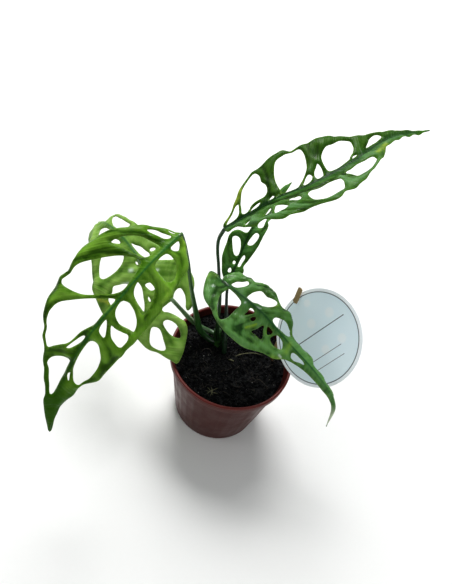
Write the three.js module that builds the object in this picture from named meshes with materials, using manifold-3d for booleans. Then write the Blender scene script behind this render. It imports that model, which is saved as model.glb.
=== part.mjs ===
// A young Monstera obliqua (Peru form) in a 9 cm nursery pot, with a round plant tag on a stick.
// Millimetres, +Z up. The origin is the centre of the pot's flat underside.
import * as THREE from 'three';
import { mergeVertices } from 'three/addons/utils/BufferGeometryUtils.js';
import Module from 'manifold-3d';

const wasm = await Module();
wasm.setup();

// Driving dimensions
const rimRadius = 45;
const potHeight = 72;
const baseRadius = 32;
const wall = 1.2;
const rimBand = { height: 7, proud: 1.6, roll: 1.4 };
const floorThickness = 1.6;
const drainHoles = { count: 6, radius: 3.5, ring: 21 };
const soilTop = 63.5;
const soilSwell = 0.9;
const gap = 0.3;
const bladeThickness = 0.7;
const tagDisc = { radius: 34, thickness: 0.8, centre: [51.8, 7.5, 114.1], azimuth: -42, elevation: 31 };
const tagStick = { width: 3.8, thickness: 1.2, top: [30, 33, 128], atSoil: [29, 13, 62], buried: 30 };

const colours = {
  pot: 0x7a3028,
  soil: 0x17120f,
  stem: 0x4d7a35,
  tag: 0xc8dcdf,
  stick: 0x96876f,
};

// The stem: its axis from the buried end to the top where the stalks leave it
const stemAxis = [[-10, 9, 26], [-11.5, 10, 48], [-13, 11, 64], [-15.6, 12.4, 79]];
const stemRadii = [3.2, 4.2, 4.3, 3.4];

// Each leaf has a stalk from its foot, in the stem or the soil, to the blade, and a midrib on to the tip.
// Blade points are [along the midrib, across it], across being positive on the left of the way
// to the tip. Roll turns the whole blade about the midrib, in degrees at the base and at the tip.
// Fold is how far each half drops from level at the midrib, left then right, and curl is how
// much more it drops for each millimetre outwards. The wave lifts and lowers the margins.
const leaves = [
  {
    name: 'leaf_front_left',
    colour: 0x5d9a2c,
    stalk: [[-13.4, 10.4, 66], [-17, 8.9, 67], [-23, 8.3, 70.6], [-28.2, 7.2, 78.2], [-31.8, 5, 92.8],
      [-36.8, 1.6, 115.6], [-41.2, -1.6, 136.8], [-45.1, -4.9, 158.9], [-48.6, -7.3, 174.9]],
    stalkRadii: [1.9, 2.6, 2.8, 2.5, 2, 1.6, 1.4, 1.3, 1.2, 1.4],
    midrib: [[-52, -9, 186], [-62, -37, 182], [-72, -60, 168], [-83, -79, 146], [-91, -95, 112],
      [-91, -108, 82]],
    roll: [-24, -18],
    fold: [16, 9],
    curl: [0.45, 0.25],
    wave: { height: 1.6, length: 34, phase: [0.1, 0.55] },
    left: [[0, 0], [1, 7], [6, 17], [12, 21], [22, 23], [32, 25], [41, 24], [49, 26], [62, 25], [78, 24],
      [92, 23], [99.9, 21.4], [105.6, 21], [110, 20], [113, 18.6], [117, 15], [119.8, 12.4], [123.9, 11],
      [130.4, 10], [137.7, 7], [143, 4], [149.5, 2.4], [155.6, 1.7], [160, 0.9], [161, 0]],
    right: [[0, 0], [3, -8], [8, -15], [13, -21], [21, -26], [29, -32], [41, -36], [51, -37], [62, -36],
      [75, -38], [85, -35], [97, -30], [107, -24.4], [112.4, -20], [118.2, -17], [121.8, -14.2],
      [129.2, -9.6], [134.1, -7.4], [138.1, -7.4], [143.4, -6.4], [150.8, -4.4], [157.7, -2.4],
      [160.5, -1], [161, 0]],
    holes: [
      [[11.4, 1.8], [8.8, 1.6], [6.2, 1.7], [4.2, 2.4], [4.1, 4], [5.6, 6], [6.6, 7], [9, 6],
        [11.1, 3.4]],
      [[16, 3], [14, 9], [16, 15], [22, 18], [27, 16], [28, 9], [27, 3]],
      [[41, 2], [37, 6], [37, 12], [42, 16], [50, 18], [55, 18], [53, 12], [48, 5]],
      [[56, 2], [54, 7], [59, 16], [67, 20], [68, 12], [64, 4]],
      [[71.4, 7], [71.4, 10], [70.5, 14], [70.1, 18.6], [72.6, 20], [76.6, 20.4], [79.9, 20],
        [80.7, 18.6], [79.5, 15], [77.1, 11], [74.2, 8.6]],
      [[70, 2], [75, 6], [80, 8], [78, 3]],
      [[87.2, 3], [86, 5], [86.8, 8], [90.1, 11], [95, 13.8], [99.9, 15], [106.8, 15], [113.7, 14],
        [118.2, 11.4], [121, 10], [120.8, 8.6], [118.6, 6.2], [114.9, 4.4], [110.4, 2.8], [103.9, 1.8],
        [97.8, 1.5], [92.5, 1.6], [89.3, 2]],
      [[13.1, -16], [10.7, -14.2], [8.6, -11], [7.8, -8], [6.6, -5], [5.6, -3], [7.4, -2.9], [9.5, -5],
        [10.7, -8], [11.9, -11], [13.1, -14]],
      [[4.2, -7.2], [2.5, -5], [1.4, -3], [1.4, -1.6], [2.9, -2.8], [4.2, -4.8]],
      [[16, -3], [18, -14], [24, -21], [33, -26], [31, -17], [27, -5], [21, -3]],
      [[31, -5], [35, -15], [45, -25], [55, -32], [66, -34], [74, -35], [70, -21], [59.5, -9],
        [55.9, -5.2], [53, -3.2], [50.6, -2], [47.3, -1.6], [43, -2.4], [38, -3]],
      [[57.4, -1.6], [58.9, -4.6], [61.8, -7.6], [66, -12.5], [76, -22], [85, -29], [96, -28],
        [107, -22.5], [110, -19.5], [106, -16], [101, -12], [98.2, -9.5], [95, -7.8], [89.7, -6.6],
        [85.6, -5.7], [81.5, -4], [77.5, -2.4], [72, -1.8], [64, -1.7]],
      [[99.5, -7.6], [98.6, -6], [95.4, -4], [90.9, -2.2], [87.6, -1.7], [86.4, -2.4], [86.8, -3.2],
        [88.5, -4.2], [92.5, -5.6], [97, -7]],
      [[117.4, -14.2], [114.5, -14.2], [111.7, -12.8], [108, -9], [106.4, -6], [106, -2.8], [107.2, -1.7],
        [112.9, -1.6], [121, -1.7], [128, -2.2], [133, -3.2], [133.6, -4.4], [131.6, -5.8], [125.5, -8.4],
        [121, -11.4]],
      [[113.4, 1], [113.6, 1.7], [115.3, 2.4], [118.2, 3.3], [119.6, 3.4], [117.6, 1.7], [115.4, 1]],
    ],
  },
  {
    name: 'leaf_rear_left',
    colour: 0x6f9c40,
    stalk: [[-16.5, 13.2, 70.5], [-21, 14.1, 70.3], [-28, 13, 73], [-37, 9.5, 83], [-44, 7, 93]],
    stalkRadii: [1.8, 2, 1.9, 1.7, 1.4, 1.6],
    midrib: [[-51, 2, 107], [-71, 8, 116], [-91, 22, 122], [-103, 30, 122], [-114, 39, 117], [-123, 48, 107],
      [-129, 58, 95]],
    roll: [-10, 0],
    fold: [28, -20],
    curl: [0.3, 0.4],
    wave: { height: 1.8, length: 36, phase: [0.2, 0.7] },
    left: [[0, 0], [0.5, 5], [0.6, 9.5], [-1.2, 10.4], [-4, 8.3], [-9, 6], [-13.5, 4.8], [-17, 4.3],
      [-22, 7], [-28, 15], [-32, 22], [-34, 30], [-29, 32], [-21, 33], [-15, 36], [-7, 38], [3, 39],
      [14, 41], [27, 43], [37, 42], [47, 37], [58, 32], [69, 25], [78, 21], [87, 17], [95, 12], [101, 5],
      [109, 0]],
    right: [[0, 0], [3, -6], [2, -10], [-3, -9], [-7, -6], [-10, -3], [-12.5, -2.5], [-12.5, -7],
      [-8, -12], [-2, -20], [4, -24], [14, -24], [24, -23], [33, -21], [40, -17], [51, -15], [64, -14],
      [75, -13], [84, -13], [91, -12], [94.5, -9], [93.5, -6.5], [90.5, -4.3], [91.5, -3], [96, -2.9],
      [103, -3], [109, 0]],
    holes: [
      [[59, 22], [61, 17], [57, 11], [49, 7], [43, 11], [40, 20], [41, 30], [45, 31], [53, 28]],
      [[81, 10], [85, 5], [80, 2.5], [73, 2.5], [72, 7], [75, 11]],
      [[-8, 30], [-4, 24], [-8, 21], [-16, 24], [-22, 28], [-20, 31], [-13, 33]],
      [[-7, 16], [-7, 13], [-13, 10], [-20, 12], [-23, 15], [-16, 18]],
      [[27.4, 16], [26, 18.5], [24, 22], [19.3, 22.5], [13.7, 24], [8.5, 27.5], [3.5, 32], [2.9, 36.5],
        [7.6, 37.5], [13.1, 38], [17.8, 37], [21.5, 35.5], [24.9, 34.5], [27.4, 34], [29.5, 29],
        [31.7, 26], [30.5, 21.5], [29.2, 18]],
      [[25.5, 9.5], [22.4, 9], [18.7, 10.5], [15.3, 13], [11.5, 16], [8.2, 20.3], [10.5, 19.8],
        [16, 18.5], [20.6, 16.5], [23.3, 14], [24.9, 11.5]],
      [[20.6, 6.5], [20, 3.5], [18, 1.8], [14, 3.2], [15, 6], [16.8, 6.5]],
      [[31, -10.5], [27, -15], [22, -20.5], [27, -21.5], [32.5, -19], [35, -14], [33.6, -10.8]],
      [[50.5, -2.2], [48, -3.6], [44.7, -6], [41, -7.2], [37, -8.6], [35, -6.5], [38.8, -3.4], [45, -2]],
      [[40, -10.5], [39.6, -13.5], [38, -14.3], [37.6, -11.5], [38.3, -10.2]],
      [[66, 8.5], [62, 7.5], [56.5, 4], [58.5, 3.2], [63, 4.5]],
      [[76, -2.5], [84, -6], [87, -9], [73, -10], [64, -10.5], [64, -6], [67, -3]],
    ],
  },
  {
    name: 'leaf_right',
    colour: 0x3d6b28,
    stalk: [[-15.8, 13.2, 76], [-18.4, 16.2, 88], [-21, 20.5, 102], [-25.5, 25.2, 116], [-29, 27.2, 129],
      [-32.1, 25.6, 145], [-33, 24, 157]],
    stalkRadii: [1.6, 1.5, 1.3, 1.2, 1.1, 1.1, 1.2, 1.4],
    midrib: [[-31, 21, 170], [-9, 40, 188], [13, 56, 200], [33, 82, 206], [51, 116, 206], [81, 153, 200]],
    roll: [-10, -10],
    fold: [-27, -27],
    curl: [0.48, 0.48],
    wave: { height: 1.8, length: 40, phase: [0.1, 0.6] },
    left: [[0, 0], [1.2, 3.2], [4.6, 5.2], [7.7, 6.6], [10.9, 8.6], [13.6, 11.2], [17.2, 14.6],
      [21.7, 18.6], [25.8, 21.8], [29.4, 24], [32.5, 25.2], [36.6, 26.2], [43.8, 28.8], [49, 30.6],
      [57, 32], [64, 30], [73, 29], [80, 27], [96, 25], [107, 21], [114, 15], [124, 11], [132, 9],
      [141, 7], [161, 4], [184, 0]],
    right: [[0, 0], [2, -5], [8, -6], [12, -12], [18, -18], [24, -20], [33, -28], [42, -29], [56, -30],
      [64, -33], [69, -29], [77, -27], [92, -21], [104, -17], [114, -13], [126, -7], [135, -6], [149, -4],
      [166, -2.5], [184, 0]],
    holes: [
      [[16.3, 9.6], [13.8, 4.4], [10.9, 2.4], [6, 1.7], [3, 1.7], [4.6, 3.3], [7, 4.8], [9.8, 6.2],
        [13, 8.8]],
      [[34.3, 23.2], [35.7, 20], [35.2, 16], [36.6, 12], [35.7, 8], [33, 5.8], [29.4, 5.2], [26.2, 5.2],
        [22.2, 4.2], [20.2, 2.4], [17.5, 1.7], [15.6, 2.2], [15.4, 4], [19, 11.4], [22.6, 16.6],
        [27.1, 20.4], [31.2, 22.8]],
      [[20.6, 1.2], [23.5, 2.6], [26.7, 3.2], [28.9, 3.1], [26.2, 1.3], [22.6, 1]],
      [[70.9, 27], [71.6, 23], [69.5, 17], [66.4, 12], [61.2, 7.2], [56.6, 3.8], [53.7, 1.8], [50, 1.4],
        [46.5, 1.5], [44.3, 1.9], [42.9, 6], [42.9, 14], [45.2, 21], [47.9, 25], [53.7, 27.6],
        [64.1, 28.4]],
      [[65, 7], [66.4, 5], [65, 3.2], [61.4, 1.7], [58.4, 1.4], [58, 2.2], [59.6, 3.8], [62.4, 6.2]],
      [[74.9, 11], [75.4, 9], [74.9, 5], [73.6, 2.3], [70.9, 1.5], [68.4, 1.5], [68, 2.5], [67.7, 4],
        [69.5, 7], [72.2, 9]],
      [[77.6, 6], [80, 13], [88, 18], [95, 18], [104, 17], [110, 13], [107, 8], [99, 3.5], [89.4, 2],
        [82.6, 1.8], [78.6, 2.7]],
      [[100, 2.5], [102, 3.5], [105, 2.5]],
      [[117, 3], [123, 6], [131, 7], [135, 4], [128, 2.5]],
      [[13, -10], [16, -9], [18, -11], [15, -12]],
      [[26, -15], [29, -11], [32, -10], [30, -17]],
      [[33, -19], [36, -11], [40, -12], [43, -19]],
      [[45, -10], [50, -7], [52, -11], [51, -16], [47, -13]],
      [[56, -13], [58, -9], [64, -7], [71, -7], [76, -12], [73, -21], [68, -26], [61, -28], [57, -22]],
      [[85, -6], [90, -5], [102, -5], [108, -8], [104, -14], [95, -17], [86, -16]],
    ],
  },
  {
    name: 'leaf_rear',
    colour: 0x35602a,
    stalk: [[-4, 4.4, 44], [-5.2, 5, 58], [-6.4, 6, 65], [-9.2, 11, 76], [-12.6, 17.5, 88],
      [-15.8, 22.4, 98.2], [-18.4, 27.2, 108.5]],
    stalkRadii: [1.7, 2, 2, 1.7, 1.4, 1.1, 1, 1.2],
    midrib: [[-18, 33, 120], [-17, 47, 134], [-15, 56, 146], [-11.2, 62.8, 150], [-8.2, 65.7, 151.5],
      [-6.7, 69.5, 152.5], [-6.4, 73.6, 153.5], [-6.1, 80, 154.5], [-4.8, 88.5, 154.5], [-2.7, 97.4, 153],
      [0, 110.3, 149]],
    roll: [0, 5],
    fold: [-24, -24],
    curl: [0.45, 0.45],
    wave: { height: 1.2, length: 26, phase: [0.2, 0.7] },
    left: [[0, 0], [-4, 1], [-6.2, 4], [-2.2, 8], [3, 10], [8.2, 12], [13.2, 12.4], [18.2, 12.4],
      [23, 13], [26.6, 11.8], [28.8, 9], [29.2, 6], [28.9, 3.6], [29.6, 1.8], [31.6, 1.3], [37.5, 1.2],
      [45, 1.2], [51.2, 1.2], [59.3, 1.2], [65, 1.3], [70.2, 1.6], [75, 2.2], [81.7, 2], [89.2, 1.1],
      [94.4, 0]],
    right: [[0, 0], [-2.4, -2], [-1, -5.4], [3.8, -7], [6, -5.6], [9, -6.2], [13.5, -7.4], [18.2, -9],
      [23.5, -10], [28.3, -10.4], [32.8, -11], [37, -10.8], [41.7, -9], [45.8, -6.8], [48.6, -3.8],
      [52, -2.1], [55.7, -1.3], [59.6, -1.2], [64.1, -1.3], [70.8, -1.7], [78.6, -1.7], [87, -1],
      [94.4, 0]],
    holes: [
      [[23.3, 10], [24.9, 8], [24.1, 5], [21.3, 3], [16.6, 1.5], [12.4, 1.5], [11.6, 3], [12.9, 5],
        [18, 8]],
      [[37, -2.2], [39.2, -1.4], [42.8, -1.4], [46.2, -2.2], [46, -3.8], [42.3, -5], [38.6, -6],
        [36.7, -4]],
      [[22, -2], [24.9, -1.8], [29.7, -3], [33, -5], [32.7, -7.6], [31, -8], [26.9, -7], [23, -5]],
      [[5.1, -1.4], [8, -1.3], [12.4, -1.9], [14.4, -2.8], [12.9, -4], [8.8, -3.4], [5.3, -3]],
    ],
  },
  {
    name: 'leaf_front_right',
    colour: 0x4c7d3a,
    stalk: [[-13.6, 9, 71], [-15.4, 9, 80], [-17.6, 10.2, 93], [-19.5, 11.6, 107], [-21.6, 12.6, 120]],
    stalkRadii: [1.6, 1.5, 1.3, 1.2, 1.2, 1.5],
    midrib: [[-21.7, 13.4, 130.5], [-2, 0.6, 135.4], [10.8, -5.3, 134.4], [32.5, -16.2, 128.5],
      [57.1, -25, 117.7], [73.9, -30.9, 102.9], [75.8, -39.8, 86.2]],
    roll: [6, 16],
    fold: [10, 16],
    curl: [0.3, 0.36],
    wave: { height: 1.8, length: 32, phase: [0, 0.4] },
    left: [[0, 0], [-4, 3], [-6, 7], [-4, 12], [-2, 18], [6, 20], [11, 19], [16, 23], [25, 25], [33, 22],
      [40, 17], [48, 18], [55, 16], [60, 10], [65, 6], [76, 7], [91, 4], [106, 3], [120, 2], [136, 0]],
    right: [[0, 0], [-4.6, 0.6], [-8.1, 1.8], [-11.7, 1.4], [-13.5, -1], [-13, -5], [-10.5, -9],
      [-6, -14], [0, -18], [9, -20], [16, -23], [28, -26], [39, -25], [48, -23], [58, -17], [65, -14],
      [70, -9], [78, -6], [91, -4], [106, -3], [120, -1.5], [136, 0]],
    holes: [
      [[5, 3], [4, 10], [7, 14], [12, 13], [11, 6]],
      [[22, 2.2], [19.5, 7], [20.2, 13], [23.8, 16], [30.5, 16], [34.8, 16], [38, 15.6], [38.8, 13],
        [37.6, 10], [34.4, 7], [29.1, 3.4], [25.6, 2]],
      [[45, 3], [45, 8], [52, 10], [61, 8], [59, 4], [51, 2]],
      [[7.4, -1.7], [6, -5], [5.4, -8], [12, -17], [18, -21], [22, -17], [22, -9], [22, -4], [16.3, -2],
        [11.4, -1.5]],
      [[28.8, -2.4], [29.1, -5], [28.8, -8.6], [31.6, -6], [33.2, -3.4], [31.2, -2]],
      [[40.8, -13], [42.4, -9], [42.9, -6.2], [43.8, -4.4], [45.8, -7], [49, -10], [49.6, -12],
        [45.1, -12.6]],
      [[46, -3], [50, -7], [51, -3]],
      [[54, -2.5], [53, -7], [58, -8.5], [63, -6], [60, -2.5]],
      [[70.6, -5], [69.2, -2.2], [71.7, -1.3], [74.5, -1.2], [78.4, -1.2], [80.5, -2], [77.4, -3.2],
        [74.2, -5]],
    ],
  },
];

// Spacing of points along curves and the longest triangle side on a blade
const marginStep = 6;
const holeStep = 5;
const ribStep = 9;
const stemRings = 8;
const longestSide = 17;

const degrees = Math.PI / 180;
const up = new THREE.Vector3(0, 0, 1);

function vector(point) {
  return new THREE.Vector3(point[0], point[1], point[2] ?? 0);
}

// Solids as manifold objects and back

function solidFrom(geometry) {
  const bare = geometry.clone();
  bare.deleteAttribute('normal');
  bare.deleteAttribute('uv');
  const merged = mergeVertices(bare, 1e-5);
  const vertProperties = new Float32Array(merged.attributes.position.array);
  const triVerts = new Uint32Array(merged.index.array);
  return new wasm.Manifold(new wasm.Mesh({ numProp: 3, vertProperties, triVerts }));
}

function geometryFrom(solid) {
  const mesh = solid.getMesh();
  const geometry = new THREE.BufferGeometry();
  geometry.setAttribute('position', new THREE.Float32BufferAttribute(mesh.vertProperties, 3));
  geometry.setIndex(Array.from(mesh.triVerts));
  geometry.computeVertexNormals();
  return geometry;
}

function named(name, geometry, color, roughness) {
  const mesh = new THREE.Mesh(geometry, new THREE.MeshStandardMaterial({ color, roughness, metalness: 0 }));
  mesh.name = name;
  return mesh;
}

// A tapered rod along a list of points: a closed cylinder whose rings are set square to the path

function between(values, share) {
  const place = share * (values.length - 1);
  const i = Math.min(Math.floor(place), values.length - 2);
  return THREE.MathUtils.lerp(values[i], values[i + 1], place - i);
}

function rod(path, radii, sides) {
  const rings = path.length - 1;
  const geometry = new THREE.CylinderGeometry(1, 1, 1, sides, rings);
  const position = geometry.attributes.position;
  const frames = [];
  let side = new THREE.Vector3(1, 0, 0);
  path.forEach((point, i) => {
    const ahead = path[Math.min(i + 1, rings)].clone().sub(path[Math.max(i - 1, 0)]).normalize();
    side = side.clone().addScaledVector(ahead, -side.dot(ahead)).normalize();
    frames.push({ point, side, across: ahead.clone().cross(side), radius: radii[i] });
  });
  for (let i = 0; i < position.count; i += 1) {
    const ring = frames[Math.round((position.getY(i) + 0.5) * rings)];
    const moved = ring.point.clone();
    moved.addScaledVector(ring.side, ring.radius * position.getZ(i));
    moved.addScaledVector(ring.across, ring.radius * position.getX(i));
    position.setXYZ(i, moved.x, moved.y, moved.z);
  }
  return solidFrom(geometry);
}

// The hole that the start of such a rod sits in
function socket(path, radii, sides) {
  const start = path[0].clone().sub(path[1]).setLength(gap).add(path[0]);
  const wider = radii.map((radius) => radius + gap);
  return rod([start, ...path], [wider[0], ...wider], sides);
}

// Leaf blades

// Place on a blade's middle surface, and the direction square to it, for a point of the flat blade
function bladeSurface(leaf) {
  const curve = new THREE.CatmullRomCurve3(leaf.midrib.map(vector));
  curve.arcLengthDivisions = 600;
  const length = curve.getLength();
  return (along, across) => {
    const share = THREE.MathUtils.clamp(along / length, 0, 1);
    const point = curve.getPointAt(share);
    const ahead = curve.getTangentAt(share);
    if (along < 0) point.addScaledVector(ahead, along);
    const level = up.clone().cross(ahead).normalize();
    const roll = THREE.MathUtils.lerp(leaf.roll[0], leaf.roll[1], share) * degrees;
    const leftward = level.applyAxisAngle(ahead, roll);
    const outward = ahead.clone().cross(leftward);
    const right = across < 0 ? 1 : 0;
    const side = right ? -1 : 1;
    const width = Math.abs(across);
    const fold = leaf.fold[right] * degrees;
    const curl = leaf.curl[right] * degrees;
    const drop = fold + curl * width;
    const reach = (Math.sin(drop) - Math.sin(fold)) / curl;
    const fall = (Math.cos(fold) - Math.cos(drop)) / curl;
    const turn = 2 * Math.PI * (along / leaf.wave.length + leaf.wave.phase[right]);
    const lift = leaf.wave.height * (width / 30) ** 2 * Math.sin(turn);
    point.addScaledVector(leftward, side * reach).addScaledVector(outward, lift - fall);
    const normal = outward.multiplyScalar(width ? Math.cos(drop) : 1);
    normal.addScaledVector(leftward, width ? side * Math.sin(drop) : 0);
    return { point, normal: normal.normalize() };
  };
}

function smoothOutline(points, closed, step) {
  const curve = new THREE.CatmullRomCurve3(points.map(vector), closed);
  const count = Math.max(closed ? 6 : 2, Math.round(curve.getLength() / step));
  const placed = curve.getSpacedPoints(count);
  if (closed) placed.pop();
  return placed.map((point) => new THREE.Vector2(point.x, point.y));
}

// The triangles of one half of the flat blade: margin outside, midrib inside, holes cut out
function halfBlade(leaf, margin, onMidrib, isLeft) {
  const edge = smoothOutline(margin, false, marginStep);
  const outline = [...onMidrib, ...edge.reverse().slice(1, -1)];
  const holes = leaf.holes.filter((hole) => (hole[0][1] > 0) === isLeft);
  const cuts = holes.map((hole) => smoothOutline(hole, true, holeStep));
  const faces = THREE.ShapeUtils.triangulateShape(outline, cuts);
  return { points: [outline, ...cuts].flat(), faces };
}

function sidesOf(faces) {
  const sides = new Map();
  faces.forEach((face, f) => face.forEach((a, i) => {
    const b = face[(i + 1) % 3];
    const key = a < b ? `${a},${b}` : `${b},${a}`;
    const side = sides.get(key) ?? { a, b, faces: [] };
    side.faces.push({ f, opposite: face[(i + 2) % 3] });
    sides.set(key, side);
  }));
  return [...sides.values()];
}

function area(p, q, r) {
  return (q.x - p.x) * (r.y - p.y) - (q.y - p.y) * (r.x - p.x);
}

function cornerAngle(at, p, q) {
  return p.clone().sub(at).angleTo(q.clone().sub(at));
}

// Turns the shared side of two faces wherever that makes them less narrow
function turnSides(points, faces) {
  let turned = true;
  for (let pass = 0; turned && pass < 60; pass += 1) {
    turned = false;
    const touched = new Set();
    for (const side of sidesOf(faces)) {
      const [one, two] = side.faces;
      const alongMidrib = points[side.a].y === 0 && points[side.b].y === 0;
      if (!two || alongMidrib || touched.has(one.f) || touched.has(two.f)) continue;
      const [a, b, c, d] = [side.a, side.b, one.opposite, two.opposite].map((i) => points[i]);
      const angles = cornerAngle(c, a, b) + cornerAngle(d, a, b);
      if (angles < Math.PI + 1e-6 || area(c, d, b) <= 1e-6 || area(d, c, a) <= 1e-6) continue;
      faces[one.f] = [one.opposite, two.opposite, side.b];
      faces[two.f] = [two.opposite, one.opposite, side.a];
      touched.add(one.f).add(two.f);
      turned = true;
    }
  }
}

// Halves every side that is too long, in both of its faces, so the curved blade stays smooth
function refine(points, faces) {
  turnSides(points, faces);
  for (let pass = 0; pass < 12; pass += 1) {
    const touched = new Set();
    const long = sidesOf(faces).filter((side) => points[side.a].distanceTo(points[side.b]) > longestSide);
    if (!long.length) return;
    for (const side of long) {
      if (side.faces.some(({ f }) => touched.has(f))) continue;
      const middle = points.push(points[side.a].clone().lerp(points[side.b], 0.5)) - 1;
      for (const { f, opposite } of side.faces) {
        const start = faces[f][(faces[f].indexOf(opposite) + 1) % 3];
        const end = faces[f][(faces[f].indexOf(opposite) + 2) % 3];
        faces[f] = [opposite, start, middle];
        faces.push([opposite, middle, end]);
        touched.add(f);
      }
    }
    turnSides(points, faces);
  }
}

function bladeSolid(leaf, place, length) {
  const ribCount = Math.round(length / marginStep);
  const onMidrib = [];
  for (let i = 0; i <= ribCount; i += 1) onMidrib.push(new THREE.Vector2((length * i) / ribCount, 0));
  const left = halfBlade(leaf, leaf.left, onMidrib, true);
  const right = halfBlade(leaf, leaf.right, onMidrib, false);
  const points = left.points;
  const shared = right.points.map((point, i) => (i <= ribCount ? i : points.push(point) - 1));
  const faces = [...left.faces, ...right.faces.map((face) => face.map((i) => shared[i]))].map((face) => {
    const [a, b, c] = face;
    return area(points[a], points[b], points[c]) > 0 ? [a, b, c] : [a, c, b];
  });
  refine(points, faces);
  const positions = [];
  for (const offset of [bladeThickness / 2, -bladeThickness / 2]) {
    for (const { x, y } of points) {
      const { point, normal } = place(x, y);
      positions.push(...point.addScaledVector(normal, offset).toArray());
    }
  }
  const under = points.length;
  const index = faces.flatMap(([a, b, c]) => [a, b, c, under + a, under + c, under + b]);
  for (const { a, b, faces: owners } of sidesOf(faces)) {
    if (owners.length === 1) index.push(a, under + a, b, b, under + a, under + b);
  }
  const geometry = new THREE.BufferGeometry();
  geometry.setAttribute('position', new THREE.Float32BufferAttribute(positions, 3));
  geometry.setIndex(index);
  return solidFrom(geometry);
}

function leafParts(leaf) {
  const place = bladeSurface(leaf);
  const midrib = new THREE.CatmullRomCurve3(leaf.midrib.map(vector));
  const stalk = new THREE.CatmullRomCurve3([...leaf.stalk, leaf.midrib[0]].map(vector));
  const stalkCount = Math.round(stalk.getLength() / ribStep);
  const ribCount = Math.round(midrib.getLength() / ribStep);
  const stalkPath = stalk.getSpacedPoints(stalkCount);
  const ribPath = midrib.getSpacedPoints(ribCount).slice(1);
  const ribRadii = [leaf.stalkRadii.at(-1) * 0.85, 0.45];
  const radii = [
    ...stalkPath.map((point, i) => between(leaf.stalkRadii, i / stalkCount)),
    ...ribPath.map((point, i) => between(ribRadii, (i + 1) / ribCount)),
  ];
  const whole = rod([...stalkPath, ...ribPath], radii, 7).add(bladeSolid(leaf, place, midrib.getLength()));
  const foot = stalkPath.slice(0, 5);
  return { whole, room: socket(foot, radii, 7) };
}

// Pot, soil, stem and tag

function latheGeometry(profile, segments) {
  const outline = profile.map(([r, z]) => new THREE.Vector2(r, z));
  return new THREE.LatheGeometry(outline, segments).rotateX(Math.PI / 2);
}

// The radius of the pot's tapered outside at a height
function outer(z) {
  return baseRadius + ((rimRadius - rimBand.proud - baseRadius) * z) / potHeight;
}

function potSolid() {
  const bandFoot = potHeight - rimBand.height;
  const profile = [
    [0, 0], [baseRadius - 1, 0], [outer(1.2), 1.2], [outer(bandFoot), bandFoot],
    [rimRadius - 0.4, bandFoot + 0.8], [rimRadius, potHeight - rimBand.roll],
    [rimRadius - 0.5, potHeight - 0.3], [rimRadius - 1.4, potHeight],
    [rimRadius - 2.4, potHeight - 0.4], [rimRadius - rimBand.proud - wall, potHeight - 2],
    [outer(bandFoot) - wall, bandFoot - 1], [outer(3) - wall, floorThickness + 1.4],
    [outer(0) - wall - 1.4, floorThickness], [0, floorThickness],
  ];
  let pot = solidFrom(latheGeometry(profile, 48));
  for (let i = 0; i < drainHoles.count; i += 1) {
    const angle = (2 * Math.PI * i) / drainHoles.count;
    const drill = new THREE.CylinderGeometry(drainHoles.radius, drainHoles.radius, 4 * floorThickness, 14);
    drill.rotateX(Math.PI / 2);
    drill.translate(drainHoles.ring * Math.cos(angle), drainHoles.ring * Math.sin(angle), 0);
    pot = pot.subtract(solidFrom(drill));
  }
  return pot;
}

function soilSolid() {
  const inner = (z) => outer(z) - wall - gap;
  const rings = 7;
  const profile = [[0, floorThickness + gap], [inner(0) - 2, floorThickness + gap], [inner(4) - 0.4, 4.5]];
  profile.push([inner(soilTop - 1) - 0.4, soilTop - 1]);
  for (let i = rings; i >= 0; i -= 1) profile.push([(inner(soilTop) - 0.8) * (i / rings), soilTop]);
  const geometry = latheGeometry(profile, 40);
  const position = geometry.attributes.position;
  for (let i = 0; i < position.count; i += 1) {
    const [x, y, z] = [position.getX(i), position.getY(i), position.getZ(i)];
    if (z < soilTop - 0.5) continue;
    const swell = Math.sin(x / 5 + 1) * Math.cos(y / 6) + 0.5 * Math.sin((x - y) / 3.4);
    position.setZ(i, z + soilSwell * swell * Math.min(1, (inner(z) - Math.hypot(x, y)) / 6));
  }
  return solidFrom(geometry);
}

function stickSolid(extra) {
  const top = vector(tagStick.top);
  const atSoil = vector(tagStick.atSoil);
  const along = top.clone().sub(atSoil).normalize();
  const lowest = atSoil.clone().addScaledVector(along, -tagStick.buried);
  const flat = tagNormal();
  const across = along.clone().cross(flat).normalize();
  const width = tagStick.width + 2 * extra;
  const length = top.distanceTo(lowest) + 2 * extra;
  const box = new THREE.BoxGeometry(width, length, tagStick.thickness + 2 * extra);
  const turn = new THREE.Matrix4().makeBasis(across, along, across.clone().cross(along));
  turn.setPosition(top.clone().add(lowest).multiplyScalar(0.5));
  return solidFrom(box.applyMatrix4(turn));
}

function tagNormal() {
  const azimuth = tagDisc.azimuth * degrees;
  const elevation = tagDisc.elevation * degrees;
  const level = Math.cos(elevation);
  return new THREE.Vector3(Math.sin(azimuth) * level, -Math.cos(azimuth) * level, Math.sin(elevation));
}

function discSolid() {
  const disc = new THREE.CylinderGeometry(tagDisc.radius, tagDisc.radius, tagDisc.thickness, 64);
  disc.applyQuaternion(new THREE.Quaternion().setFromUnitVectors(new THREE.Vector3(0, 1, 0), tagNormal()));
  disc.translate(...tagDisc.centre);
  return solidFrom(disc);
}

const stemPath = new THREE.CatmullRomCurve3(stemAxis.map(vector)).getSpacedPoints(stemRings);
const stemWidths = stemPath.map((point, i) => between(stemRadii, i / stemRings));
const grown = leaves.map(leafParts);
const withSockets = (solid) => grown.reduce((rest, leaf) => rest.subtract(leaf.room), solid);
const stem = withSockets(rod(stemPath, stemWidths, 12));
const soil = withSockets(soilSolid())
  .subtract(socket(stemPath, stemWidths, 12))
  .subtract(stickSolid(gap));
const disc = discSolid().subtract(stickSolid(gap));

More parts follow.
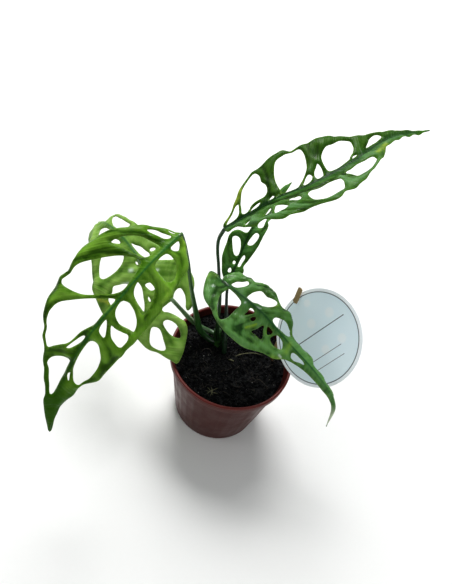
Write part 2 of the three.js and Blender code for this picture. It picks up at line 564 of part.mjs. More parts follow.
const plant = new THREE.Group();
plant.add(named('pot', geometryFrom(potSolid()), colours.pot, 0.45));
plant.add(named('soil', geometryFrom(soil), colours.soil, 0.95));
plant.add(named('stem', geometryFrom(stem), colours.stem, 0.5));
leaves.forEach((leaf, i) => plant.add(named(leaf.name, geometryFrom(grown[i].whole), leaf.colour, 0.45)));
plant.add(named('tag_disc', geometryFrom(disc), colours.tag, 0.35));
plant.add(named('tag_stick', geometryFrom(stickSolid(0)), colours.stick, 0.8));

export default plant;
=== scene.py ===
# A young Monstera obliqua (Peru form) in a 9 cm nursery pot, with a round plant tag on a stick.
# Sizes in the dictionaries are millimetres unless they say otherwise; meshes are made in metres.
import math
import bpy
import numpy as np
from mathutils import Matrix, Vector
from mathutils import geometry as planar
from mathutils import noise


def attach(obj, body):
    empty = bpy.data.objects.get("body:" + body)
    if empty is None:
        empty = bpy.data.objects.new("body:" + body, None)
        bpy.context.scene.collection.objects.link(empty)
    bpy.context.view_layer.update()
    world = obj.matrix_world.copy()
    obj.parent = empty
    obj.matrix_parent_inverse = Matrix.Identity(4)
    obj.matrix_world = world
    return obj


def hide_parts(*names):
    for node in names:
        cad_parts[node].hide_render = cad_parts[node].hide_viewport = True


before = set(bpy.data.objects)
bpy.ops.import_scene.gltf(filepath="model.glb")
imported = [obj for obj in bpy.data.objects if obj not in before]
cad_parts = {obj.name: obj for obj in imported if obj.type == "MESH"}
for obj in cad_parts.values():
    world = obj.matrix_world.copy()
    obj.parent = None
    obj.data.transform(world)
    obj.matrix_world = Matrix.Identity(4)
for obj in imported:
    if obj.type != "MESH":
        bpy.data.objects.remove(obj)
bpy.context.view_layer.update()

mm = 0.001
scene = bpy.context.scene


# ---- curves and meshes used by several pieces

def smoothCurve(points, closed=False, perSpan=20):
    points = np.array(points, float)
    count = len(points)
    ends = [2 * points[0] - points[1], 2 * points[-1] - points[-2]]

    def pick(i):
        if closed:
            return points[i % count]
        return ends[0] if i < 0 else ends[1] if i >= count else points[i]

    share = np.arange(perSpan)[:, None] / perSpan
    found = []
    for i in range(count if closed else count - 1):
        a, b, c, d = (pick(i + k) for k in (-1, 0, 1, 2))
        ab, bc, cd = (max(np.linalg.norm(q - p), 1e-9) ** 0.5 for p, q in ((a, b), (b, c), (c, d)))
        out = ((b - a) / ab - (c - a) / (ab + bc) + (c - b) / bc) * bc
        into = ((c - b) / bc - (d - b) / (bc + cd) + (d - c) / cd) * bc
        found.append(b + out * share + (3 * (c - b) - 2 * out - into) * share ** 2
                     + (2 * (b - c) + out + into) * share ** 3)
    found = np.vstack(found)
    return np.vstack([found, points[:1] if closed else points[-1:]])


def evenly(curve, step, closed=False):
    run = np.r_[0, np.cumsum(np.linalg.norm(np.diff(curve, axis=0), axis=1))]
    places = np.linspace(0, run[-1], max(3, round(run[-1] / step)) + 1)
    spaced = np.column_stack([np.interp(places, run, column) for column in curve.T])
    return spaced[:-1] if closed else spaced


def softStep(low, high, value):
    t = np.clip((value - low) / (high - low), 0, 1)
    return t * t * (3 - 2 * t)


def bumpy(points, size, seed):
    # smooth noise from -1 to 1 at each point, lumps of the given size
    shift = Vector((seed, seed * 0.7, seed * 1.3))
    return np.array([noise.noise(Vector(p / size) + shift) for p in points])


def lineDistance(places, starts, ends):
    along = ends - starts
    length2 = np.maximum((along ** 2).sum(1), 1e-12)
    found = []
    for part in np.array_split(places, max(1, len(places) // 600)):
        away = part[:, None, :] - starts[None]
        share = np.clip((away * along).sum(2) / length2, 0, 1)
        found.append(np.sqrt(((away - share[:, :, None] * along) ** 2).sum(2).min(1)))
    return np.concatenate(found)


def edgeDistance(places, loops):
    return lineDistance(places, np.vstack(loops), np.vstack([np.roll(loop, -1, axis=0) for loop in loops]))


def edgeFacing(places, loops, reach):
    # which way the edges near each place lie: 1 where they are all on the side of lower x, -1 where
    # they are all on the side of higher x, and near 0 where there are as many on both sides
    edges = np.vstack(loops)
    found = []
    for part in np.array_split(places, max(1, len(places) // 600)):
        away = part[:, None, :] - edges[None]
        length = np.sqrt((away ** 2).sum(2)) + 0.05
        weight = np.exp(-(length / reach) ** 2)
        found.append((weight * away[:, :, 0] / length).sum(1) / (weight.sum(1) + 1e-4))
    return np.concatenate(found)


def isInside(places, loops):
    starts = np.vstack(loops)
    ends = np.vstack([np.roll(loop, -1, axis=0) for loop in loops])
    found = []
    for part in np.array_split(places, max(1, len(places) // 1500)):
        x, y = part[:, :1], part[:, 1:]
        spans = (starts[:, 1] > y) != (ends[:, 1] > y)
        with np.errstate(divide="ignore", invalid="ignore"):
            run = ends[:, 0] - starts[:, 0]
            cross = starts[:, 0] + (y - starts[:, 1]) / (ends[:, 1] - starts[:, 1]) * run
        found.append((spans & (x < cross)).sum(1) % 2 == 1)
    return np.concatenate(found)


# A flat sheet of even triangles between outlines: points in the plane and the triangles' corners
def flatSheet(loops, step, creases=()):
    corners = np.vstack(loops)
    low, high = corners.min(0), corners.max(0)
    rows = np.arange(low[1], high[1], step * 0.87)
    grid = np.array([(x + (step / 2 if i % 2 else 0), y)
                     for i, y in enumerate(rows) for x in np.arange(low[0], high[0], step)])
    grid = grid[isInside(grid, loops)]
    clear = step * 0.55
    grid = grid[edgeDistance(grid, loops) > clear]
    for crease in creases:
        grid = grid[edgeDistance(grid, [crease]) > clear]
    sides, start = [], 0
    for loop in loops:
        sides += [(start + i, start + (i + 1) % len(loop)) for i in range(len(loop))]
        start += len(loop)
    places = [*loops]
    for crease in creases:
        sides += [(start + i, start + i + 1) for i in range(len(crease) - 1)]
        start += len(crease)
        places.append(crease)
    places = np.vstack([*places, grid])
    cut = planar.delaunay_2d_cdt([Vector(p) for p in places], sides, [], 0, 1e-5)
    flat = np.array([tuple(p) for p in cut[0]])
    faces = np.array(cut[2])
    faces = faces[isInside(flat[faces].mean(1), loops)]
    a, b, c = (flat[faces[:, k]] for k in range(3))
    turned = (b[:, 0] - a[:, 0]) * (c[:, 1] - a[:, 1]) - (b[:, 1] - a[:, 1]) * (c[:, 0] - a[:, 0]) < 0
    faces[turned] = faces[turned][:, ::-1]
    return flat, faces


# Two skins over the same triangles, joined round every edge into one closed sheet
def closedSheet(upper, lower, faces):
    count = len(upper)
    pairs = np.vstack([faces[:, [0, 1]], faces[:, [1, 2]], faces[:, [2, 0]]])
    key = np.sort(pairs, axis=1)
    _, where, seen = np.unique(key, axis=0, return_index=True, return_counts=True)
    rim = pairs[where[seen == 1]]
    rimFaces = np.column_stack([rim[:, 1], rim[:, 0], rim[:, 0] + count, rim[:, 1] + count])
    under = faces[:, ::-1] + count
    return np.vstack([upper, lower]), [*faces.tolist(), *under.tolist(), *rimFaces.tolist()]


def meshPiece(name, points, faces):
    mesh = bpy.data.meshes.new(name)
    mesh.from_pydata(np.asarray(points).tolist(), [], faces)
    mesh.validate()
    mesh.update()
    piece = bpy.data.objects.new(name, mesh)
    scene.collection.objects.link(piece)
    return piece


def layValues(mesh, name, values):
    mesh.attributes.new(name, "FLOAT", "POINT").data.foreach_set("value", np.asarray(values, float))


def layMap(mesh, name, places):
    # the same map on both skins of a closed sheet
    uv = mesh.uv_layers.new(name=name)
    corners = np.zeros(len(mesh.loops), int)
    mesh.loops.foreach_get("vertex_index", corners)
    uv.data.foreach_set("uv", np.vstack([places, places])[corners].ravel())


# Rings of points turned about the upright axis; a radius of 0 closes the shape in one point
def turnedShape(profile, segments):
    points, rings = [], []
    for radius, z in profile:
        if radius < 1e-6:
            rings.append([len(points)] * segments)
            points.append((0, 0, z))
            continue
        rings.append([len(points) + i for i in range(segments)])
        angles = np.arange(segments) * 2 * math.pi / segments
        points += [(radius * math.cos(a), radius * math.sin(a), z) for a in angles]
    faces = []
    for low, high in zip(rings, rings[1:]):
        for i in range(segments):
            j = (i + 1) % segments
            face = [low[i], low[j], high[j], high[i]]
            faces.append([p for k, p in enumerate(face) if p != face[k - 1]])
    return np.array(points, float), faces


# ---- node trees

def feed(tree, socket, value):
    # a socket takes a node's first output, another socket or a plain value; None leaves it alone
    if isinstance(value, bpy.types.Node):
        value = value.outputs[0]
    if isinstance(value, bpy.types.NodeSocket):
        tree.links.new(value, socket)
    elif value is not None:
        socket.default_value = value


def startTree(name, sockets):
    tree = bpy.data.node_groups.new(name, "GeometryNodeTree")
    tree.interface.new_socket("Geometry", in_out="INPUT", socket_type="NodeSocketGeometry")
    for label, kind, value in sockets:
        socket = tree.interface.new_socket(label, in_out="INPUT", socket_type="NodeSocket" + kind)
        if value is not None:
            socket.default_value = value
    tree.interface.new_socket("Geometry", in_out="OUTPUT", socket_type="NodeSocketGeometry")
    return tree, tree.nodes.new("NodeGroupInput").outputs, tree.nodes.new("NodeGroupOutput").inputs


def wire(tree, kind, settings=None, **inputs):
    # adds a node; inputs are values or sockets, named as the node names them with _ for a space
    node = tree.nodes.new(kind)
    for key, value in (settings or {}).items():
        setattr(node, key, value)
    for label, value in inputs.items():
        wanted = label.replace("_", " ")
        feed(tree, next(s for s in node.inputs if s.enabled and s.name == wanted), value)
    return node


def sums(tree, operation, first, second=None, third=None, clamp=False):
    # one Math node; numbers or sockets in, its result socket out
    node = tree.nodes.new("ShaderNodeMath")
    node.operation = operation
    node.use_clamp = clamp
    for socket, value in zip(node.inputs, (first, second, third)):
        feed(tree, socket, value)
    return node.outputs[0]


def times(tree, first, second):
    return sums(tree, "MULTIPLY", first, second)


def ramp(tree, value, low, high, start=0.0, end=1.0):
    node = tree.nodes.new("ShaderNodeMapRange")
    node.interpolation_type = "SMOOTHSTEP"
    for socket, given in zip(node.inputs, (value, low, high, start, end)):
        feed(tree, socket, given)
    return node.outputs["Result"]


def scaled(tree, vector, size):
    return wire(tree, "ShaderNodeVectorMath", {"operation": "SCALE"}, Vector=vector, Scale=size)


def lastNodes(tree, shape, material, output):
    # every tree ends the same way, so that nothing is left as an instance
    real = wire(tree, "GeometryNodeRealizeInstances", Geometry=shape)
    dressed = wire(tree, "GeometryNodeSetMaterial", Geometry=real, Material=material)
    tree.links.new(dressed.outputs[0], output[0])


def grown(host, tree, **values):
    # the host's mesh as the tree makes it, as a plain mesh; the host goes
    modifier = host.modifiers.new(tree.name, "NODES")
    modifier.node_group = tree
    for item in tree.interface.items_tree:
        if item.item_type == "SOCKET" and item.in_out == "INPUT" and item.name.replace(" ", "_") in values:
            modifier[item.identifier] = values[item.name.replace(" ", "_")]
    host.update_tag()
    bpy.context.view_layer.update()
    depsgraph = bpy.context.evaluated_depsgraph_get()
    mesh = bpy.data.meshes.new_from_object(host.evaluated_get(depsgraph), depsgraph=depsgraph)
    host.modifiers.remove(modifier)
    bpy.data.objects.remove(host)
    return mesh


# A tube along a line of points, as thick as its pathRadius says
def makeTubeTree():
    tree, given, output = startTree("tubeAlongPath", (
        ("Sides", "Int", 12), ("Point Spacing", "Float", 0.0015), ("Skin Wobble", "Float", 0.0001),
        ("Wobble Scale", "Float", 220.0), ("Material", "Material", None)))
    radius = wire(tree, "GeometryNodeInputNamedAttribute", {"data_type": "FLOAT"}, Name="pathRadius")
    curve = wire(tree, "GeometryNodeMeshToCurve", Mesh=given["Geometry"])
    sized = wire(tree, "GeometryNodeSetCurveRadius", Curve=curve, Radius=radius)
    spaced = wire(tree, "GeometryNodeResampleCurve", {"mode": "LENGTH"}, Curve=sized,
                  Length=given["Point Spacing"])
    place = wire(tree, "GeometryNodeSplineParameter")
    marked = wire(tree, "GeometryNodeStoreNamedAttribute", {"data_type": "FLOAT", "domain": "POINT"},
                  Geometry=spaced, Name="alongPath", Value=place.outputs["Length"])
    ring = wire(tree, "GeometryNodeCurvePrimitiveCircle", Resolution=given["Sides"], Radius=1.0)
    around = wire(tree, "GeometryNodeSplineParameter")
    ringMarked = wire(tree, "GeometryNodeStoreNamedAttribute", {"data_type": "FLOAT", "domain": "POINT"},
                      Geometry=ring, Name="aroundPath", Value=around.outputs["Factor"])
    thick = wire(tree, "GeometryNodeInputRadius")
    tube = wire(tree, "GeometryNodeCurveToMesh", Curve=marked, Profile_Curve=ringMarked,
                Scale=thick, Fill_Caps=True)
    drift = wire(tree, "ShaderNodeTexNoise", {"noise_dimensions": "3D"}, Scale=given["Wobble Scale"],
                 Detail=2.0)
    size = times(tree, sums(tree, "SUBTRACT", drift.outputs["Fac"], 0.5), given["Skin Wobble"])
    normal = wire(tree, "GeometryNodeInputNormal")
    moved = wire(tree, "GeometryNodeSetPosition", Geometry=tube,
                 Offset=scaled(tree, normal, size))
    smooth = wire(tree, "GeometryNodeSetShadeSmooth", Geometry=moved)
    lastNodes(tree, smooth, given["Material"], output)
    return tree


tubeTree = makeTubeTree()


def tube(path, radii, material, **values):
    # path in metres, one radius for each of its points
    host = meshPiece("tubeHost", path, [])
    host.data.edges.add(len(path) - 1)
    first = np.arange(len(path) - 1)
    host.data.edges.foreach_set("vertices", np.column_stack([first, first + 1]).ravel())
    host.data.update()
    layValues(host.data, "pathRadius", radii)
    return grown(host, tubeTree, Material=material, **values)


def joined(name, meshes):
    # several finished meshes as one object, each keeping its material
    parts = []
    for mesh in meshes:
        part = bpy.data.objects.new(name, mesh)
        scene.collection.objects.link(part)
        parts.append(part)
    with bpy.context.temp_override(active_object=parts[0], selected_editable_objects=parts,
                                   selected_objects=parts, object=parts[0]):
        bpy.ops.object.join()
    parts[0].name = name
    return parts[0]


# ---- colours and shader groups

def tone(red, green, blue):
    # a colour as it is read off a screen, 0 to 255, made linear
    linear = [c / 255 / 12.92 if c <= 10 else ((c / 255 + 0.055) / 1.055) ** 2.4 for c in (red, green, blue)]
    return (*linear, 1.0)


def startGroup(name, inputs, outputs):
    group = bpy.data.node_groups.new(name, "ShaderNodeTree")
    for label, kind, value in inputs:
        socket = group.interface.new_socket(label, in_out="INPUT", socket_type="NodeSocket" + kind)
        if value is not None:
            socket.default_value = value
    for label, kind in outputs:
        group.interface.new_socket(label, in_out="OUTPUT", socket_type="NodeSocket" + kind)
    return group, group.nodes.new("NodeGroupInput").outputs, group.nodes.new("NodeGroupOutput").inputs


def blendTones(tree, share, first, second):
    node = tree.nodes.new("ShaderNodeMix")
    node.data_type = "RGBA"
    node.clamp_factor = True
    for socket, value in ((node.inputs["Factor"], share), (node.inputs[6], first), (node.inputs[7], second)):
        feed(tree, socket, value)
    return node.outputs[2]


def lumps(tree, scale, detail=3.0, roughness=0.5, vector=None, distortion=0.0):
    node = tree.nodes.new("ShaderNodeTexNoise")
    for label, value in (("Scale", scale), ("Detail", detail), ("Roughness", roughness),
                         ("Distortion", distortion)):
        feed(tree, node.inputs[label], value)
    if vector is None:
        vector = tree.nodes.new("ShaderNodeTexCoord").outputs["Object"]
    feed(tree, node.inputs["Vector"], vector)
    return node.outputs["Fac"]


def attribute(tree, name):
    node = tree.nodes.new("ShaderNodeAttribute")
    node.attribute_name = name
    return node.outputs["Fac"]


def apartFrom(tree, vector):
    # the parts of a vector, as the outputs X, Y and Z
    return wire(tree, "ShaderNodeSeparateXYZ", Vector=vector).outputs


def newMaterial(name, **fixed):
    # fixed values go straight on the shader's own sockets
    material = bpy.data.materials.new(name)
    material.use_nodes = True
    shader = material.node_tree.nodes["Principled BSDF"]
    for label, value in fixed.items():
        shader.inputs[label.replace("_", " ")].default_value = value
    return material, material.node_tree, shader


def place(tree, group, **values):
    node = tree.nodes.new("ShaderNodeGroup")
    node.node_tree = group
    for label, value in values.items():
        feed(tree, node.inputs[label.replace("_", " ")], value)
    return node.outputs


def bumpNormal(tree, shader, height, distance):
    node = wire(tree, "ShaderNodeBump", Height=height, Distance=distance, Strength=1.0)
    tree.links.new(node.outputs["Normal"], shader.inputs["Normal"])


# Cloudy drift between two tones and a finer grain, for every finish
def makeCloudGroup():
    group, given, output = startGroup("cloudyTone", (
        ("First", "Color", (0.1, 0.1, 0.1, 1)), ("Second", "Color", (0.2, 0.2, 0.2, 1)),
        ("Patch Scale", "Float", 40.0), ("Patch Share", "Float", 1.0), ("Grain Scale", "Float", 900.0),
        ("Grain", "Float", 0.1)),
        (("Color", "Color"), ("Patches", "Float"), ("Grain", "Float")))
    patches = ramp(group, lumps(group, given["Patch Scale"], 3.0), 0.3, 0.7)
    share = sums(group, "MULTIPLY", patches, given["Patch Share"], clamp=True)
    mixed = blendTones(group, share, given["First"], given["Second"])
    grain = lumps(group, given["Grain Scale"], 2.0)
    level = sums(group, "MULTIPLY_ADD", sums(group, "SUBTRACT", grain, 0.5), given["Grain"], 1.0)
    hsv = group.nodes.new("ShaderNodeHueSaturation")
    group.links.new(mixed, hsv.inputs["Color"])
    group.links.new(level, hsv.inputs["Value"])
    group.links.new(hsv.outputs[0], output["Color"])
    group.links.new(patches, output["Patches"])
    group.links.new(grain, output["Grain"])
    return group


cloudGroup = makeCloudGroup()


# ---- camera, floor and light

camera = {"place": (0, -0.28994, 0.49229), "turn": (38.0773, -10.4870, 16.4455), "lens": 43.151}
cameraData = bpy.data.cameras.new("viewCamera")
cameraData.lens = camera["lens"]
cameraData.sensor_width = 36
cameraData.clip_start = 0.01
viewCamera = bpy.data.objects.new("viewCamera", cameraData)
viewCamera.location = camera["place"]
viewCamera.rotation_euler = [math.radians(a) for a in camera["turn"]]
scene.collection.objects.link(viewCamera)
scene.camera = viewCamera

floor = {"half": 4.0, "tone": (236, 236, 234), "roughness": 0.75}
floorCorners = [(x * floor["half"], y * floor["half"], 0) for x, y in ((-1, -1), (1, -1), (1, 1), (-1, 1))]
floorPiece = meshPiece("floor", floorCorners, [[0, 1, 2, 3]])
floorMaterial, tree, shader = newMaterial("paleFloor", Roughness=floor["roughness"])
wide = place(tree, cloudGroup, First=tone(*floor["tone"]), Second=tone(*floor["tone"]), Patch_Scale=3.0,
             Grain_Scale=400.0, Grain=0.02)
tree.links.new(wide["Color"], shader.inputs["Base Color"])
floorPiece.data.materials.append(floorMaterial)

lights = (
    {"name": "overheadSoft", "at": (-0.3, 0.85, 1.4), "aim": (0, 0, 0.1), "size": 0.8, "power": 25},
    {"name": "frontFill", "at": (1.1, -0.9, 0.9), "aim": (0, 0, 0.08), "size": 0.8, "power": 4},
    {"name": "leftFill", "at": (-1.3, -0.4, 0.8), "aim": (0, 0, 0.08), "size": 0.8, "power": 2},
)
for light in lights:
    lamp = bpy.data.lights.new(light["name"], "AREA")
    lamp.shape = "DISK"
    lamp.size = light["size"]
    lamp.energy = light["power"]
    lampPiece = bpy.data.objects.new(light["name"], lamp)
    lampPiece.location = light["at"]
    facing = Vector(light["aim"]) - Vector(light["at"])
    lampPiece.rotation_euler = facing.to_track_quat("-Z", "Y").to_euler()
    scene.collection.objects.link(lampPiece)
room = {"tone": (0.95, 0.98, 1.0, 1), "strength": 0.3}
world = bpy.data.worlds.new("softRoom")
world.use_nodes = True
background = world.node_tree.nodes["Background"]
background.inputs["Color"].default_value = room["tone"]
background.inputs["Strength"].default_value = room["strength"]
scene.world = world
scene.view_settings.view_transform = "Standard"
scene.view_settings.look = "Medium High Contrast"
print("camera, floor and lights placed")


# ---- pot: thin moulded plastic with a rolled rim, faint upright ribs and drain holes

pot = {
    "rimRadius": 45, "height": 72, "baseRadius": 32, "wall": 1.2, "bandHeight": 7, "bandProud": 1.6,
    "floor": 1.6, "holes": 6, "holeRadius": 3.5, "holeRing": 21, "ribs": 36, "ribDepth": 0.28,
    "tone": (70, 27, 22), "wornTone": (82, 40, 33), "roughness": 0.42,
    # the band tone is a painted reflection: a paler band along the outside of the rim band
    "scuff": (132, 86, 78), "bandReflectionTone": (88, 44, 38), "lipTone": (98, 33, 26),
    "ribSpan": (6, 62), "outerFrom": (42.6, 43.6), "bandReflectionFrom": (65.5, 66.5), "lipFrom": (70.1, 70.8),
}


def potOuter(z):
    slope = pot["rimRadius"] - pot["bandProud"] - pot["baseRadius"]
    return pot["baseRadius"] + slope * z / pot["height"]


def makePotProfile():
    rim, top, wall = pot["rimRadius"], pot["height"], pot["wall"]
    foot = top - pot["bandHeight"]
    baseEdge = pot["baseRadius"] - 1
    outside = [(0, 0.6), (8, 0.6), (9, 0.1), (12, 0), (baseEdge, 0), (baseEdge + 0.7, 0.25),
               (potOuter(1.2), 1.2)]
    outside += [(potOuter(z), z) for z in np.linspace(3, foot - 0.6, 16)]
    outside += [(potOuter(foot) + 0.15, foot - 0.1), (rim - 0.9, foot + 0.25), (rim - 0.45, foot + 0.8)]
    outside += [(rim - 0.45 + 0.3 * t, foot + 0.8 + (top - 2.6 - foot - 0.8) * t) for t in (0.25, 0.5, 0.75, 1)]
    lip = [(rim - 1.15 + 1.15 * math.cos(a), top - 1.15 + 1.15 * math.sin(a))
           for a in np.radians([-50, -25, 0, 20, 40, 60, 80, 100, 120, 140, 160, 180])]
    inside = [(rim - 2.45, top - 1.9), (rim - pot["bandProud"] - wall, top - 3.2),
              (rim - pot["bandProud"] - wall - 0.1, foot + 0.6), (potOuter(foot) - wall, foot - 1)]
    inside += [(potOuter(z) - wall, z) for z in np.linspace(foot - 4, 4, 12)]
    inside += [(potOuter(2) - wall - 0.7, pot["floor"] + 0.3), (potOuter(0) - wall - 1.8, pot["floor"])]
    inside += [(15, pot["floor"]), (0, pot["floor"])]
    return outside + lip + inside


def makePotTree():
    # upright ribs pushed out of the wall and a ring of drain holes through the floor
    tree, given, output = startTree("potRibsAndHoles", (
        ("Rib Count", "Int", 30), ("Rib Depth", "Float", 0.0002), ("Rib Low", "Float", 0.006),
        ("Rib High", "Float", 0.06), ("Hole Count", "Int", 6), ("Hole Radius", "Float", 0.0035),
        ("Hole Ring", "Float", 0.021), ("Material", "Material", None)))
    where = wire(tree, "GeometryNodeInputPosition")
    apart = apartFrom(tree, where)
    angle = sums(tree, "ARCTAN2", apart["Y"], apart["X"])
    crest = ramp(tree, sums(tree, "COSINE", times(tree, angle, given["Rib Count"])), 0.2, 1.0)
    ease = 0.003
    ribLow, ribHigh = given["Rib Low"], given["Rib High"]
    low = ramp(tree, apart["Z"], ribLow, sums(tree, "ADD", ribLow, ease))
    high = ramp(tree, apart["Z"], sums(tree, "SUBTRACT", ribHigh, ease), ribHigh, 1.0, 0.0)
    push = times(tree, times(tree, crest, low), times(tree, high, given["Rib Depth"]))
    flat = wire(tree, "ShaderNodeCombineXYZ", X=apart["X"], Y=apart["Y"])
    outward = wire(tree, "ShaderNodeVectorMath", {"operation": "NORMALIZE"}, Vector=flat)
    ribbed = wire(tree, "GeometryNodeSetPosition", Geometry=given["Geometry"],
                  Offset=scaled(tree, outward, push))
    ring = wire(tree, "GeometryNodeMeshCircle", Vertices=given["Hole Count"],
                Radius=given["Hole Ring"])
    drill = wire(tree, "GeometryNodeMeshCylinder", Vertices=28, Radius=given["Hole Radius"], Depth=0.01)
    drills = wire(tree, "GeometryNodeInstanceOnPoints", Points=ring, Instance=drill)
    solid = wire(tree, "GeometryNodeRealizeInstances", Geometry=drills)
    cut = wire(tree, "GeometryNodeMeshBoolean", {"operation": "DIFFERENCE", "solver": "EXACT"})
    tree.links.new(ribbed.outputs[0], cut.inputs["Mesh 1"])
    tree.links.new(solid.outputs[0], cut.inputs["Mesh 2"])
    lastNodes(tree, cut, given["Material"], output)
    return tree


def makePotMaterial():
    material, tree, shader = newMaterial("potPlasticRed", Coat_Weight=0.05, Coat_Roughness=0.3,
                                         Specular_IOR_Level=0.34)
    clouds = place(tree, cloudGroup, First=tone(*pot["tone"]), Second=tone(*pot["wornTone"]), Patch_Scale=26.0,
                   Patch_Share=0.35, Grain_Scale=1500.0, Grain=0.08)
    where = tree.nodes.new("ShaderNodeTexCoord").outputs["Object"]
    stretched = wire(tree, "ShaderNodeMapping", Vector=where, Scale=(1, 1, 0.08))
    streaks = lumps(tree, 240.0, 4.0, 0.6, stretched)
    scuffed = blendTones(tree, ramp(tree, streaks, 0.55, 0.8, 0.0, 0.22), clouds["Color"], tone(*pot["scuff"]))
    apart = apartFrom(tree, where)
    squares = [times(tree, apart[axis], apart[axis]) for axis in "XY"]
    outer = ramp(tree, sums(tree, "SQRT", sums(tree, "ADD", *squares)), *(r * mm for r in pot["outerFrom"]))
    # painted reflection: the outside of the rim band is paled towards the band tone
    band = times(tree, ramp(tree, apart["Z"], *(z * mm for z in pot["bandReflectionFrom"]), 0.0, 0.6), outer)
    reflectionBanded = blendTones(tree, band, scuffed, tone(*pot["bandReflectionTone"]))
    lip = ramp(tree, apart["Z"], *(z * mm for z in pot["lipFrom"]))
    lipped = blendTones(tree, lip, reflectionBanded, tone(*pot["lipTone"]))
    tree.links.new(lipped, shader.inputs["Base Color"])
    rough = ramp(tree, lumps(tree, 90.0, 4.0), 0.3, 0.75, pot["roughness"] - 0.06, pot["roughness"] + 0.12)
    tree.links.new(rough, shader.inputs["Roughness"])
    bumpNormal(tree, shader, sums(tree, "MULTIPLY_ADD", streaks, 0.5, clouds["Grain"]), 0.00006)
    return material


potPoints, potFaces = turnedShape(makePotProfile(), 192)
potHost = meshPiece("potHost", potPoints * mm, potFaces)
potMesh = grown(potHost, makePotTree(), Rib_Count=pot["ribs"], Rib_Depth=pot["ribDepth"] * mm,
                Rib_Low=pot["ribSpan"][0] * mm, Rib_High=pot["ribSpan"][1] * mm, Hole_Count=pot["holes"],
                Hole_Radius=pot["holeRadius"] * mm, Hole_Ring=pot["holeRing"] * mm, Material=makePotMaterial())
potMesh.shade_smooth()
potMesh.set_sharp_from_angle(angle=math.radians(38))
potShell = bpy.data.objects.new("potShell", potMesh)
scene.collection.objects.link(potShell)
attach(potShell, "root")
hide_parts("pot")
print("pot made:", len(potMesh.polygons), "faces")


# ---- soil: moist dark peat with crumbs, fibres, rootlets and a few pale specks, partly perlite and partly painted glints of wet peat

soil = {
    "top": 63.5, "swell": 0.9, "inner": 41.4, "lumpSize": 5.2, "lumpRise": 1.1, "crumbSize": 1.5,
    "crumbRise": 0.7, "crumbs": 260000, "crumbRange": (0.45, 1.35), "fibres": 60000, "specks": 8200,
    "backRise": 2.4, "rings": 74, "segments": 220, "peat": ((0, 0, 2), (5, 7, 9)),
    "fibre": ((66, 58, 46), (30, 27, 24)), "straw": ((116, 114, 84), (78, 78, 58)),
    # the pale tones are for specks that are partly perlite and partly painted glints of wet peat
    "pale": ((176, 184, 186), (160, 150, 128)),
}


def soilHeight(x, y):
    # the CAD soil's own swell, and a gentle rise towards the back, in millimetres
    swell = np.sin(x / 5 + 1) * np.cos(y / 6) + 0.5 * np.sin((x - y) / 3.4)
    calm = np.clip((soil["inner"] - np.hypot(x, y)) / 6, 0, 1)
    return soil["top"] + soil["swell"] * swell * calm + soil["backRise"] * softStep(2, 34, y)


def makeSoilBed():
    segments = soil["segments"]
    rings = np.r_[0, np.linspace(0.6, soil["inner"] - 0.1, soil["rings"])]
    top, faces = turnedShape([(r, 0) for r in rings], segments)
    x, y = top[:, 0], top[:, 1]
    rough = soil["lumpRise"] * bumpy(top, soil["lumpSize"], 3.1)
    rough += soil["crumbRise"] * bumpy(top, soil["crumbSize"], 8.7)
    calm = np.clip((soil["inner"] - np.hypot(x, y)) / 2, 0.25, 1)
    top[:, 2] = soilHeight(x, y) + rough * calm - 0.5
    low = [(potOuter(62) - 1.6, 62), (potOuter(30) - 1.7, 30), (potOuter(5) - 1.8, 5), (potOuter(3) - 4, 2.2),
           (0, 2.2)]
    side, sideFaces = turnedShape(low, segments)
    count = len(top)
    faces = [*faces, *[[i + count for i in face] for face in sideFaces]]
    last = count - segments
    for i in range(segments):
        j = (i + 1) % segments
        faces.append([count + i, count + j, last + j, last + i])
    bed = meshPiece("soilBed", np.vstack([top, side]) * mm, faces)
    bed.data.flip_normals()
    bed.data.shade_smooth()
    return bed


fullTurn = 6.283


def makeCrumbTree():
    tree, given, output = startTree("scatteredCrumbs", (
        ("Density", "Float", 1000.0), ("Smallest", "Float", 0.0004), ("Largest", "Float", 0.001),
        ("Flatness", "Float", 0.7), ("Crumble", "Float", 0.0006), ("Seed", "Int", 1),
        ("Material", "Material", None)))
    points = wire(tree, "GeometryNodeDistributePointsOnFaces", Mesh=given["Geometry"],
                  Density=given["Density"], Seed=given["Seed"])
    lump = wire(tree, "GeometryNodeMeshIcoSphere", Radius=1.0, Subdivisions=2)
    turn = wire(tree, "FunctionNodeRandomValue", {"data_type": "FLOAT_VECTOR"}, Seed=given["Seed"],
                Max=(fullTurn, fullTurn, fullTurn))
    turned = wire(tree, "FunctionNodeEulerToRotation", Euler=turn)
    size = wire(tree, "FunctionNodeRandomValue", {"data_type": "FLOAT"}, Min=given["Smallest"],
                Max=given["Largest"]).outputs[1]
    scale = wire(tree, "ShaderNodeCombineXYZ", X=size, Y=size, Z=times(tree, size, given["Flatness"]))
    spread = wire(tree, "GeometryNodeInstanceOnPoints", Points=points, Instance=lump,
                  Rotation=turned, Scale=scale)
    real = wire(tree, "GeometryNodeRealizeInstances", Geometry=spread)
    drift = wire(tree, "ShaderNodeTexNoise", {"noise_dimensions": "3D"}, Scale=900.0, Detail=2.0)
    centred = wire(tree, "ShaderNodeVectorMath", {"operation": "SUBTRACT"})
    tree.links.new(drift.outputs["Color"], centred.inputs[0])
    centred.inputs[1].default_value = (0.5, 0.5, 0.5)
    rough = wire(tree, "GeometryNodeSetPosition", Geometry=real,
                 Offset=scaled(tree, centred, given["Crumble"]))
    lastNodes(tree, rough, given["Material"], output)
    return tree


